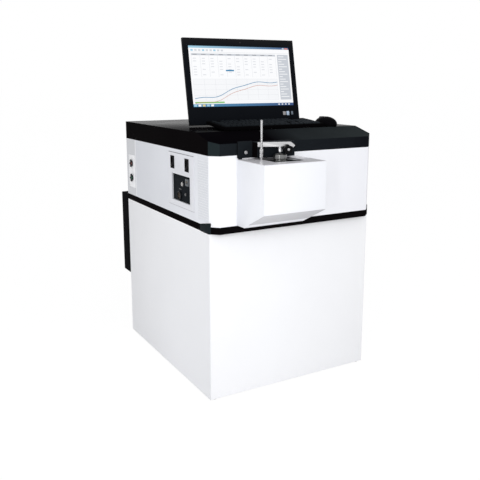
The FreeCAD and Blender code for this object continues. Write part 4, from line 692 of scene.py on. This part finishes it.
def lid_faces(face):
    """Lit and shaded copies of one black paint, by which way a face looks: glossy on top, painted lighter in
    front, on the slope and on the corners, deepest black on the sides.
    """
    normal = face.normal
    if normal.z > 0.985:
        return TOP
    if normal.z > 0.5 and normal.y < -0.1:
        return SLOPE
    if normal.y < -0.9:
        return FRONT
    return CORNER if normal.y < -0.2 else SIDE


def bay_walls(face):
    """The walls of the bay get a darker copy of the plate's paint as painted shade, where the plate's edge
    turns in.
    """
    middle = face.calc_center_median()
    deep = middle.x > (PLATE_FACE + 0.6) * MM and abs(face.normal.x) < 0.3
    across = BAY_ACROSS[0] * MM < middle.y < BAY_ACROSS[1] * MM
    up = BAY_UP[0] * MM < middle.z < BAY_UP[1] * MM
    return 1 if deep and across and up else 0


def left_faces(face):
    """The clamp box's left and lower faces, which get the deeper black as painted shade."""
    return 1 if face.normal.x < -0.7 or face.normal.z < -0.7 else 0


def outer_sides(face):
    """The upright sides of the keyboard, apart from the walls of its wells, which get a darker copy of its
    moulding as painted shade.
    """
    return 1 if face.normal.z < 0.5 and abs(face.normal.y) + abs(face.normal.x) > 0.6 else 0


def cabinet_and_head():
    """The panels and covers with eased corners, and where they have them, lit and shaded copies of their paint
    chosen face by face as painted light and shade.
    """
    for node in ("cabinet_left_panel", "cabinet_right_panel", "cabinet_front_panel"):
        eased_piece(node, 0.7)
    for node in ("rear_duct", "head_base", "corner_guards"):
        eased_piece(node, 0.8)
    for node in ("head_front_panel", "port_plate", "bay_panel", "stand_underside"):
        eased_piece(node, 0.4)
    eased_piece("stand_housing", 0.9)
    # The bay's inner walls get a darker copy of the plate's paint: painted shade.
    eased_piece("connection_plate", 0.4, [plate_paint, bay_wall], paint=bay_walls)
    # The lid's faces get lit and shaded copies of its black paint: painted light and shade.
    eased_piece("head_lid", 1.6, LID_FINISHES, segments=3, paint=lid_faces)
    # The clamp box's left and lower faces get the deeper black: painted shade.
    eased_piece("clamp_housing", 0.9, [front_black, black_paint], paint=left_faces)


def vents():
    """A fine pale gauze just inside the slots of the head's sides, and dust filters behind the rear slots."""
    sides = bmesh.new()
    for side in (-1, 1):
        left, right = sorted((side * 358.3, side * 359.7))
        for row in range(SLOT_ROWS):
            foot = SLOT_FOOT + SLOT_PITCH * row
            add_form(sides, slab((left, -341.9, foot + 0.05), (right, -262.1, foot + 1.95)))
    finish_piece("side_vent_gauze", sides, gauze_white, CONSOLE)
    rear = bmesh.new()
    for middle in (-180, 180):
        add_form(rear, slab((middle - 84, 469.0, 720), (middle + 84, 471.8, 816), 0.5))
    add_form(rear, slab((128, 469.2, 106), (232, 471.8, 214), 0.5))
    finish_piece("rear_dust_filters", rear, filter_mesh, CONSOLE)


def side_seam():
    """The rolled edge where the head's left side meets its rear corner."""
    form = slab((-360.9, 361.6, 668), (-359.5, 366.2, 917.5), 0.5)
    finish_piece("side_seam_bead", form, front_white, CONSOLE)


def plate_edges():
    """A dark sealing line above the connection plate, a pale one below it, and its four small rivets."""
    form = bmesh.new()
    add_form(form, slab((-360.7, -229, 903.2), (-359.8, -6, 905.0)))
    add_form(form, in_material(slab((-360.7, -229, 698.0), (-359.8, -3, 699.8)), 1))
    finish_piece("plate_sealing_lines", form, [seal_grey, seal_pale], CONSOLE)
    rivets = bmesh.new()
    for y in (-226, -6):
        for z in (707, 898):
            head = turned([(0, 0), (2.2, 0), (1.9, 0.6), (1.0, 0.95), (0, 1.05)], 20)
            add_form(rivets, put(head, at(PLATE_FACE, y, z, "-X")))
    finish_piece("plate_rivets", rivets, plate_paint, CONSOLE)


cabinet_and_head()
vents()
side_seam()
plate_edges()


# ---------------------------------------------------------------- connections on the left side

# Where the connectors stand on the bay's panel, as (Y, Z), and the numbers of their finishes.
SOCKET, HOSE_TIP, DATA_PORT, EARTH_STUD = (-90.5, 741), (-122, 789), (-165, 800), (-146.5, 752)
BAY_FINISHES = [dark_metal, socket_red, brass, nickel, port_grey, satin_nickel]
DARK, LINER, CONTACT, BRIGHT, CASE, SATIN = range(6)


def on_bay(form, place, finish=DARK, lift=0.0):
    """Stands a form made along Z on the bay's panel, so that it reaches to the left."""
    return in_material(put(form, at(BAY_FLOOR - lift, *place, "-X")), finish)


def round_socket(parts):
    """A shell with a liner, five contacts in a ring and three runs of locking ribs."""
    shell = turned([(0, 0), (17, 0), (17, 4.6), (16.4, 5.8), (15, 6), (14, 5.6), (14, 1.2), (0, 1.2)])
    add_form(parts, on_bay(shell, SOCKET))
    liner = turned([(0, 1.2), (13.9, 1.2), (13.9, 2.4), (12.6, 3.0), (0, 3.0)], 40)
    add_form(parts, on_bay(liner, SOCKET, LINER))
    contacts, ring = 5, 7.6
    for k in range(contacts):
        angle = 2 * math.pi * k / contacts
        pin = turned([(0, 2.8), (1.5, 2.8), (1.5, 4.2), (1.1, 4.7), (0, 4.8)], 16)
        place = SOCKET[0] + ring * math.cos(angle), SOCKET[1] + ring * math.sin(angle)
        add_form(parts, on_bay(pin, place, CONTACT))
    run, ribs, reach = 0.9, 6, 15.5 * MM
    for start in (0.5, 2.6, 4.6):
        arc = bmesh.new()
        for step in range(ribs):
            turn = start + run * (step + 0.5) / ribs
            rib = slab((-0.5, -1.1, 5.5), (0.5, 1.1, 6.3), 0.2, 1)
            add_form(arc, put(rib, Matrix.Rotation(turn, 4, "Z") @ Matrix.Translation((reach, 0, 0))))
        add_form(parts, on_bay(arc, SOCKET))


def hose_tip(parts):
    """A dark collar with a bright grooved tip."""
    collar = turned([(0, 0), (10.5, 0), (10.5, 2.6), (9.6, 3.2), (7.4, 3.2), (0, 3.2)], 40)
    add_form(parts, on_bay(collar, HOSE_TIP))
    tip = turned(
        [(0, 3.1), (7, 3.2), (7, 4), (6.2, 4.4), (6.2, 5), (7, 5.4), (7, 6), (6.4, 6.5)]
        + [(4.4, 6.8), (4.4, 7.2), (2.5, 7.2), (2.5, 4), (0, 4)],
        40,
    )
    add_form(parts, on_bay(tip, HOSE_TIP, BRIGHT))


def data_port(parts):
    """A square case with a dark mouth and eight contacts in it."""
    y, z = DATA_PORT
    case = slab((BAY_FLOOR - 6, y - 13, z - 13), (BAY_FLOOR, y + 13, z + 13), 0.8)
    add_form(parts, in_material(case, CASE))
    mouth = slab((BAY_FLOOR - 6.15, y - 9, z - 6), (BAY_FLOOR - 5.4, y + 9, z + 6), 0.3)
    add_form(parts, mouth)
    for k in range(8):
        left = y - 7 + 1.9 * k
        contact = slab((BAY_FLOOR - 6.35, left, z + 1), (BAY_FLOOR - 6, y - 6.1 + 1.9 * k, z + 5))
        add_form(parts, in_material(contact, CONTACT))


def earth_stud(parts):
    """A stud with its nut, and the short lever above the socket."""
    stud = turned([(0, 0), (6.5, 0), (6.5, 0.8), (4, 0.8), (4, 4.2), (3.5, 5), (0, 5)], 28)
    add_form(parts, on_bay(stud, EARTH_STUD, SATIN))
    nut = ease(hexagon(6.4, 2.4), 0.35, segments=1)
    add_form(parts, on_bay(nut, EARTH_STUD, SATIN, lift=2.1))
    lever = slab((BAY_FLOOR - 4.2, -112, 766.2), (BAY_FLOOR, -92, 769.4), 0.8)
    add_form(parts, in_material(lever, SATIN))


def bay_details():
    """The connectors on their dark panel, as one piece."""
    parts = bmesh.new()
    for connector in (round_socket, hose_tip, data_port, earth_stud):
        connector(parts)
    dressed("bay_connectors", "_detailed", parts, BAY_FINISHES)


def hose_ports():
    """Two barbed hose fittings, each with two lobes and a coloured collar."""
    parts = bmesh.new()
    for z, collar in ((LOW_PORT_Z, 2), (HIGH_PORT_Z, 1)):
        place = at(PLATE_FACE, PORT_Y, z, "-X")
        body = turned(
            [(2.5, -25), (8, -25), (8, -0.5), (13, 0), (13, 3.4), (12.4, 4), (6, 4), (6, 4.6), (4.4, 5)]
            + [(4.4, 6.2), (5.2, 6.4), (4.1, 8.6), (5.0, 8.8), (4.0, 10.9), (3.6, 11), (2.5, 11)],
            40,
        )
        add_form(parts, put(body, place))
        for lift in (-9.5, 9.5):
            lobe = turned([(0, 3.8), (8.2, 3.8), (8.2, 6.6), (7.4, 7.6), (5.2, 8.0), (0, 8.0)], 36)
            offset = Matrix.Translation((0, 0, lift * MM))
            add_form(parts, put(lobe, offset @ place))
        ring = turned([(5.2, 4.0), (9.6, 4.0), (9.6, 6.6), (8.6, 7.4), (5.2, 7.4)], 36)
        add_form(parts, in_material(put(ring, place), collar))
    dressed("port_fittings", "_detailed", parts, [dark_metal, hose_red, hose_green])


def switches():
    """A raised black frame round each rocker, and the I and O marks on the rockers' own faces."""
    housings = "switch_housings"
    frames = merged_copy(housings)
    back = PLATE_FACE - 0.05
    for y in SWITCH_Y.values():
        for side in (-1, 1):
            left, right = sorted((y + side * 12.2, y + side * 17))
            add_form(frames, slab((PLATE_FACE - 1.6, left, 841.5), (back, right, 890.5), 0.4))
            foot, top = sorted((SWITCH_AXIS_Z + side * 20.2, SWITCH_AXIS_Z + side * 24.5))
            add_form(frames, slab((PLATE_FACE - 1.55, y - 14, foot), (back, y + 14, top), 0.4))
    finish_piece("switch_frames", frames, switch_plastic, CONSOLE, [housings])
    lean = Matrix.Rotation(math.radians(ROCKER_LEAN), 4, "Y")
    for node, y in SWITCH_Y.items():
        form = ease(merged_copy(node), 0.5)
        rocker_face = Matrix.Translation(Vector((SWITCH_AXIS_X, y, SWITCH_AXIS_Z)) * MM) @ lean
        stroke = slab((-7.3, -0.6, -14), (-6.4, 0.6, -8), 0.1, 1)
        ring = turned([(2.6, 6.2), (3.5, 6.2), (3.5, 6.95), (2.6, 6.95)], 28)
        circle = put(ring, at(0, 0, 11, "-X"))
        for mark in (stroke, circle):
            add_form(form, in_material(put(mark, rocker_face), 1))
        dressed(node, "_marked", form, [switch_plastic, marking])


bay_details()
hose_ports()
switches()


# ---------------------------------------------------------------- sample stand and clamp

ARM_TURN = -18
ARM = at(*ROD, 0, turn=math.radians(ARM_TURN))
KNURL_STEPS = 96


def knurl(form, radius, depth):
    """Presses every other line of points on a barrel inwards, as a straight knurl."""
    for vert in form.verts:
        if abs(math.hypot(vert.co.x, vert.co.y) - radius * MM) < 0.05 * MM:
            step = round(math.atan2(vert.co.y, vert.co.x) / (2 * math.pi) * KNURL_STEPS)
            if step % 2:
                vert.co.x *= 1 - depth / radius
                vert.co.y *= 1 - depth / radius
    return form


def clamp():
    """The rod with its collar, the two knurled nuts, the arm, the sprung pin, the knob and the seat ring."""
    on_rod, on_seat = at(*ROD, 0), at(*SEAT, 0)
    rod = turned(
        [(0, 902.5), (4.5, 902.5), (4.5, 904), (6.4, 904), (6.8, 904.4), (6.8, 906.6), (6.4, 907)]
        + [(3.9, 907), (3.9, 1039.5), (3.7, 1040.6), (3.1, 1041.5), (2.1, 1042), (0, 1042)],
        40,
    )
    dressed("clamp_rod", "_turned", put(rod, on_rod), bright_steel)
    barrel = 6.2
    nuts = turned(
        [(4.0, 911), (5.6, 911), (6.0, 911.4), (barrel, 912.2), (barrel, 924.8), (6.0, 925.6), (5.6, 926)]
        + [(4.9, 926), (4.9, 928), (5.6, 928), (6.0, 928.4), (barrel, 929.2), (barrel, 941.8)]
        + [(6.0, 942.6), (5.6, 943), (4.9, 943), (4.9, 949.75), (4.0, 949.75)],
        KNURL_STEPS,
    )
    knurl(nuts, barrel, 0.3)
    dressed("rod_nuts", "_knurled", put(nuts, on_rod), bright_steel, 25)
    eased_piece("clamp_arm", 0.6, angle=40)
    pin = turned(
        [(0, 928.5), (3.3, 928.5), (3.9, 929.1), (3.9, 934.95), (4.9, 935.05), (4.9, 938), (0, 938)], 40
    )
    dressed("press_pin", "_turned", put(pin, on_seat), bright_steel)
    sleeve = turned([(5.9, 932.1), (6.9, 932.1), (7.4, 932.6), (7.4, 949.0), (7.7, 949.75), (5.9, 949.75)])
    put(sleeve, on_seat)
    finish_piece("plunger_sleeve", sleeve, sleeve_steel, "clamp_arm_unit")
    eased_piece("clamp_knob", 1.3, angle=40, segments=3)
    spindle = turned(
        [(0, 0), (4, 0), (4, 27.3), (4.8, 27.3), (4.8, 29.2), (4.4, 29.9), (3.2, 30.3), (0, 30.3)], 32
    )
    dressed("knob_spindle", "_turned", put(spindle, ARM @ at(92, 8, 940.6, "-Y")), bright_steel)
    ring = turned(
        [(5, 902.5), (22.6, 902.5), (22.6, 906.2), (23.2, 906.8), (24, 907.4), (24, 921.3), (22.8, 922.5)]
        + [(15.8, 922.5), (15, 921.7), (15, 916.5), (5, 916.5)],
        72,
    )
    dressed("seat_ring", "_turned", put(ring, on_seat), ring_steel)


def screws():
    """A cap screw through the clamp's flange, and four pan-head screws in the rear panel."""
    heads = bmesh.new()
    add_form(heads, in_material(put(hex_socket_screw(6, 3.5, 2.5, 9), at(-229.5, -379, 927, "-Y")), 1))
    for x in FEET_X:
        for z in (48, 265):
            add_form(heads, put(pan_head_screw(4, 2.5, 2, 3), at(x, REAR_FACE, z, "Y")))
    dressed("fixing_screws", "_detailed", heads, [bright_steel, sleeve_steel])


def hex_socket_screw(radius, height, shank, length):
    """Made along Z with the underside of its head at 0, and a hexagon in its end."""
    form = turned(
        [(0, -length), (shank, -length), (shank, 0), (radius, 0), (radius, height - 0.5)]
        + [(radius - 0.5, height), (radius * 0.5, height), (radius * 0.48, height - 0.2), (0, height - 0.2)],
        36,
    )
    return add_form(form, hexagon(radius * 0.46, 0.25, Matrix.Translation((0, 0, (height - 0.12) * MM))))


def pan_head_screw(radius, height, shank, length):
    """Made along Z with the underside of its domed head at 0."""
    return turned(
        [(0, -length), (shank, -length), (shank, 0), (radius, 0), (radius, height * 0.35)]
        + [(radius * 0.9, height * 0.7), (radius * 0.6, height * 0.94), (radius * 0.2, height), (0, height)],
        32,
    )


clamp()
screws()


# ---------------------------------------------------------------- display

DISPLAY_FOOT, DISPLAY_TURN, DISPLAY_LEAN = (-19.5, -30, 1001), -3.2, -12
DISPLAY = (
    Matrix.Translation(Vector(DISPLAY_FOOT) * MM)
    @ Matrix.Rotation(math.radians(DISPLAY_TURN), 4, "Z")
    @ Matrix.Rotation(math.radians(DISPLAY_LEAN), 4, "X")
)
SCREEN_LEFT, SCREEN_BOTTOM, SCREEN_WIDTH, SCREEN_HEIGHT = -229.5, 72.0, 459.0, 244.0
GLASS_DEPTH = 3.0


def screen_picture():
    """A plain measuring program: a tool bar, a side list, a table and two curves, above a row of windows."""
    form = bmesh.new()
    layer = form.loops.layers.float_color.new("picture")

    def patch(left, bottom, right, top, colour, level, last=None):
        """A lit patch, in shares of the screen's width and height, with its level in front of the glass."""
        x0 = SCREEN_LEFT + left * SCREEN_WIDTH
        x1 = SCREEN_LEFT + right * SCREEN_WIDTH
        z0 = SCREEN_BOTTOM + bottom * SCREEN_HEIGHT
        z1 = SCREEN_BOTTOM + top * SCREEN_HEIGHT
        y = GLASS_DEPTH - 0.05 * (level + 1)
        outline = (x0, y, z0), (x1, y, z0), (x1, y, z1), (x0, y, z1)
        face = form.faces.new([form.verts.new(Vector(corner) * MM) for corner in outline])
        for loop in face.loops:
            end = last if last and loop.vert.co.x > (x0 + x1) / 2 * MM else colour
            loop[layer] = (*end, 1)

    white, paper, line = (0.98, 0.985, 1.0), (0.93, 0.94, 0.96), (0.66, 0.68, 0.72)
    ink, list_grey = (0.30, 0.31, 0.34), (0.58, 0.61, 0.66)
    navy, sky, pale_sky = (0.015, 0.06, 0.20), (0.05, 0.25, 0.45), (0.35, 0.62, 0.78)
    green, blue, red = (0.22, 0.55, 0.16), (0.03, 0.22, 0.42), (0.55, 0.2, 0.12)
    patch(0, 0, 1, 1, white, 0)
    patch(0, 0.965, 1, 1, pale_sky, 1, navy)
    patch(0.93, 0.97, 0.95, 0.99, (0.6, 0.7, 0.8), 2)
    patch(0.955, 0.97, 0.99, 0.99, (0.75, 0.25, 0.18), 2)
    for k in range(9):
        patch(0.02 + k * 0.036, 0.915, 0.042 + k * 0.036, 0.945, line if k % 3 else pale_sky, 1)
    patch(0, 0.895, 1, 0.899, line, 1)
    patch(0.87, 0.10, 0.985, 0.875, list_grey, 1)
    for k in range(17):
        patch(0.88, 0.835 - k * 0.043, 0.94 + 0.03 * math.sin(k * 2.1), 0.848 - k * 0.043, paper, 2)
    patch(0.02, 0.845, 0.85, 0.875, list_grey, 1)
    for k in range(11):
        x = 0.02 + k * 0.083
        patch(x, 0.49, x + 0.0022, 0.875, line, 2)
        if k < 10:
            patch(x + 0.015, 0.853, x + 0.055, 0.866, ink, 2)
    for row in range(7):
        z = 0.79 - row * 0.045
        patch(0.02, z - 0.013, 0.85, z - 0.0105, paper, 2)
        for k in range(10):
            if (row * 7 + k * 3) % 5 < 4 - (row > 4):
                patch(0.035 + k * 0.083, z, 0.035 + k * 0.083 + 0.03, z + 0.011, line, 2)
    patch(0.34, 0.585, 0.42, 0.61, blue, 3)
    patch(0.02, 0.10, 0.85, 0.455, paper, 1)
    for k in range(9):
        patch(0.02 + k * 0.10375, 0.10, 0.0215 + k * 0.10375, 0.455, line, 2)
    for k in range(5):
        patch(0.02, 0.10 + k * 0.08875, 0.85, 0.1025 + k * 0.08875, line, 2)
    steps = 70
    for k in range(steps):
        share = k / steps
        start, end = 0.022 + share * 0.826, 0.0245 + (k + 1) / steps * 0.826
        rise = 0.13 + 0.27 / (1 + math.exp(-10 * (share - 0.42))) + 0.012 * math.sin(share * 19)
        patch(start, rise, end, rise + 0.009, blue, 3)
        patch(start, rise - 0.08 + share * 0.03, end, rise - 0.074 + share * 0.03, red, 3)
    patch(0.02, 0.058, 0.30, 0.083, green, 2)
    patch(0.30, 0.058, 0.85, 0.083, paper, 2)
    patch(0, 0, 1, 0.046, sky, 2, navy)
    for k, tone in enumerate((pale_sky, white, (0.75, 0.62, 0.25), pale_sky, white)):
        patch(0.008 + k * 0.04, 0.008, 0.034 + k * 0.04, 0.038, tone, 3)
    for k in range(4):
        patch(0.84 + k * 0.035, 0.014, 0.856 + k * 0.035, 0.032, paper, 3)
    finish_piece("screen_picture", put(form, DISPLAY), screen_light, "display_head")


def display_details():
    """The eased cases, the camera's lens and three blank patches on the lower frame."""
    eased_piece("display_bezel", 0.8)
    eased_piece("display_rear_cover", 1.5, segments=3)
    eased_piece("display_foot", 1.2)
    lens = turned([(0, 0), (2.2, 0), (2.6, 0.15), (2.6, 0.5), (0, 0.5)], 24)
    place = DISPLAY @ at(0, 0.1, 331.5, "-Y")
    finish_piece("camera_lens", put(lens, place), plate_gloss, "display_head")
    patches = bmesh.new()
    places = (173, 13.5, 31, 46), (190.5, 12.5, 30, 47), (213, 8.5, 32, 46)
    for number, (left, width, foot, top) in enumerate(places):
        form = slab((left, -0.35, foot), (left + width, 0.0, top), 0.15)
        add_form(patches, in_material(form, number))
    stickers = [
        gloss("grey_foil_patch", (0.34, 0.33, 0.34), 0.35, 0.4, 1.1),
        gloss("pale_blue_patch", (0.46, 0.58, 0.74), 0.35, 0.4, 1.1),
        gloss("slate_patch", (0.16, 0.20, 0.25), 0.35, 0.4, 1.1),
    ]
    finish_piece("chin_patches", put(patches, DISPLAY), stickers, "display_head")


screen_picture()
display_details()


# ---------------------------------------------------------------- keyboard and mouse


def keyboard():
    """Keys, tray and folding legs. Only the outward corners are eased, so that the keys keep their play."""
    for node in ("function_keys", "main_keys", "space_bar", "side_keys"):
        eased_piece(node, 0.7, hollows=False)
    # The tray's upright sides take the darker copy of its moulding: painted shade.
    coats = [keyboard_plastic, keyboard_side]
    eased_piece("keyboard_base", 1.2, coats, segments=3, paint=outer_sides, hollows=False)
    for node in ("keyboard_leg_left", "keyboard_leg_right"):
        eased_piece(node, 0.4)


def mouse():
    """The eased shells, and a wheel with a ribbed tread."""
    for node in ("mouse_base", "mouse_shell", "mouse_left_button", "mouse_right_button"):
        eased_piece(node, 0.35, angle=40)
    node = "mouse_wheel"
    low, high = (Vector(corner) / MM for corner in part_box(node))
    across, radius = (high.x - low.x) / 2, (high.z - low.z) / 2
    wheel = turned(
        [(1.6, -across), (radius - 1.2, -across), (radius - 0.4, 0.3 - across), (radius, 0.9 - across)]
        + [(radius, across - 0.9), (radius - 0.4, across - 0.3), (radius - 1.2, across), (1.6, across)],
        KNURL_STEPS,
    )
    knurl(wheel, radius, 0.35)
    dressed(node, "_ribbed", put(wheel, at(*(low + high) / 2, "X")), foot_rubber)


keyboard()
mouse()


# ---------------------------------------------------------------- feet and smaller fittings


def levelling_feet():
    """Rubber pads, each under a locking nut on its threaded stem."""
    feet = bmesh.new()
    ridges = [(0, 9.5)]
    for step in range(9):
        ridges += [(5.3, 9.8 + 1.5 * step), (5.9, 10.5 + 1.5 * step)]
    ridges += [(5.3, 23.5), (5.3, 24), (0, 24)]
    for x in FEET_X:
        for y in FEET_Y:
            pad = turned(
                [(0, 0), (15.5, 0), (17.2, 0.5), (18, 2), (18, 6.6)]
                + [(17.4, 7.8), (13.5, 9.6), (12, 10), (0, 10)]
            )
            add_form(feet, put(pad, at(x, y, 0)))
            nut = ease(hexagon(11, 5), 0.6)
            add_form(feet, in_material(put(nut, at(x, y, 12.4)), 1))
            add_form(feet, in_material(put(turned(ridges, 28), at(x, y, 0)), 1))
    dressed("levelling_feet", "_turned", feet, [foot_rubber, zinc_steel])


def small_fittings():
    """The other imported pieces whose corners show, and how far each is eased."""
    widths = {
        "fan_frame": 0.6,
        "fan_rotor": 0.5,
        "mains_inlet": 0.5,
        "display_button": 0.25,
        "cabinet_rear_panel": 0.35,
        "head_rear_panel": 0.35,
        "sample_plate": 0.4,
    }
    for node, width in widths.items():
        eased_piece(node, width)


levelling_feet()
small_fittings()


# ---------------------------------------------------------------- floor, light and camera

AMBIENT = 0.755
FLOOR_WHITE, FLOOR_GLOW, FLOOR_GLOW_SHARE = (0.93, 0.93, 0.935), 1.03, 0.9
FLOOR_HALF = 60
EYE, LENS, SENSOR, SHIFT_Y = (-1.3694, -2.345, 1.178), 48.72, 36, -0.0625
LOOK_DOWN, LOOK_RIGHT = 0.1983347, 0.5167024


def seen_directly(tree):
    """1 for what the eye sees, also in a reflection or through glass, and 0 for light on its way."""
    path = tree.nodes.new("ShaderNodeLightPath")
    seen = path.outputs["Is Camera Ray"]
    for kind in ("Is Glossy Ray", "Is Transmission Ray"):
        either = tree.nodes.new("ShaderNodeMath")
        either.operation = "MAXIMUM"
        tree.links.new(seen, either.inputs[0])
        tree.links.new(path.outputs[kind], either.inputs[1])
        seen = either.outputs[0]
    return seen


def world_light():
    """White where it is seen, and a plain level of light elsewhere."""
    world = bpy.data.worlds.new("studio")
    scene.world = world
    world.use_nodes = True
    tree = world.node_tree
    background = tree.nodes["Background"]
    background.inputs["Color"].default_value = (1, 1, 1, 1)
    level = tree.nodes.new("ShaderNodeMapRange")
    level.inputs["To Min"].default_value = AMBIENT
    level.inputs["To Max"].default_value = 1.0
    tree.links.new(seen_directly(tree), level.inputs["Value"])
    tree.links.new(level.outputs["Result"], background.inputs["Strength"])


def floor():
    """A pale floor that looks white, and still takes a faint shadow."""
    material = bpy.data.materials.new("studio_floor")
    material.use_nodes = True
    tree = material.node_tree
    shader = tree.nodes["Principled BSDF"]
    shader.inputs["Base Color"].default_value = (*FLOOR_WHITE, 1)
    shader.inputs["Roughness"].default_value = 0.9
    shader.inputs["Specular IOR Level"].default_value = 0.1
    glow = tree.nodes.new("ShaderNodeEmission")
    glow.inputs["Strength"].default_value = FLOOR_GLOW
    mix = tree.nodes.new("ShaderNodeMixShader")
    share = tree.nodes.new("ShaderNodeMath")
    share.operation = "MULTIPLY"
    share.inputs[1].default_value = FLOOR_GLOW_SHARE
    tree.links.new(seen_directly(tree), share.inputs[0])
    tree.links.new(share.outputs[0], mix.inputs[0])
    tree.links.new(shader.outputs[0], mix.inputs[1])
    tree.links.new(glow.outputs[0], mix.inputs[2])
    tree.links.new(mix.outputs[0], tree.nodes["Material Output"].inputs["Surface"])
    form = bmesh.new()
    bmesh.ops.create_grid(form, x_segments=1, y_segments=1, size=FLOOR_HALF)
    data = bpy.data.meshes.new("floor")
    form.to_mesh(data)
    form.free()
    data.materials.append(material)
    piece = bpy.data.objects.new("floor", data)
    scene.collection.objects.link(piece)


def lamp(name, place, aim, width, height, energy, reflected=False):
    """A rectangular lamp that the camera doesn't see, and that shows in reflections only where asked."""
    light = bpy.data.lights.new(name, "AREA")
    light.shape = "RECTANGLE"
    light.size = width
    light.size_y = height
    light.energy = energy
    piece = bpy.data.objects.new(name, light)
    piece.location = place
    direction = Vector(aim) - Vector(place)
    piece.rotation_euler = direction.to_track_quat("-Z", "Y").to_euler()
    piece.visible_camera = False
    piece.visible_glossy = reflected
    scene.collection.objects.link(piece)


def camera():
    data = bpy.data.cameras.new("camera")
    data.lens = LENS
    data.sensor_width = SENSOR
    data.shift_y = SHIFT_Y
    piece = bpy.data.objects.new("camera", data)
    piece.location = EYE
    piece.rotation_euler = (math.pi / 2 - LOOK_DOWN, 0, -LOOK_RIGHT)
    scene.collection.objects.link(piece)
    scene.camera = piece


world_light()
floor()
lamp("key_light", (-1.40, -3.5, 1.9), (0, 0, 0.6), 1.6, 1.6, 37)
lamp("tall_strip", (-1.98, -2.30, 1.25), (-0.13, -0.45, 0.95), 0.28, 1.7, 10, reflected=True)
camera()

scene.view_settings.view_transform = "Standard"
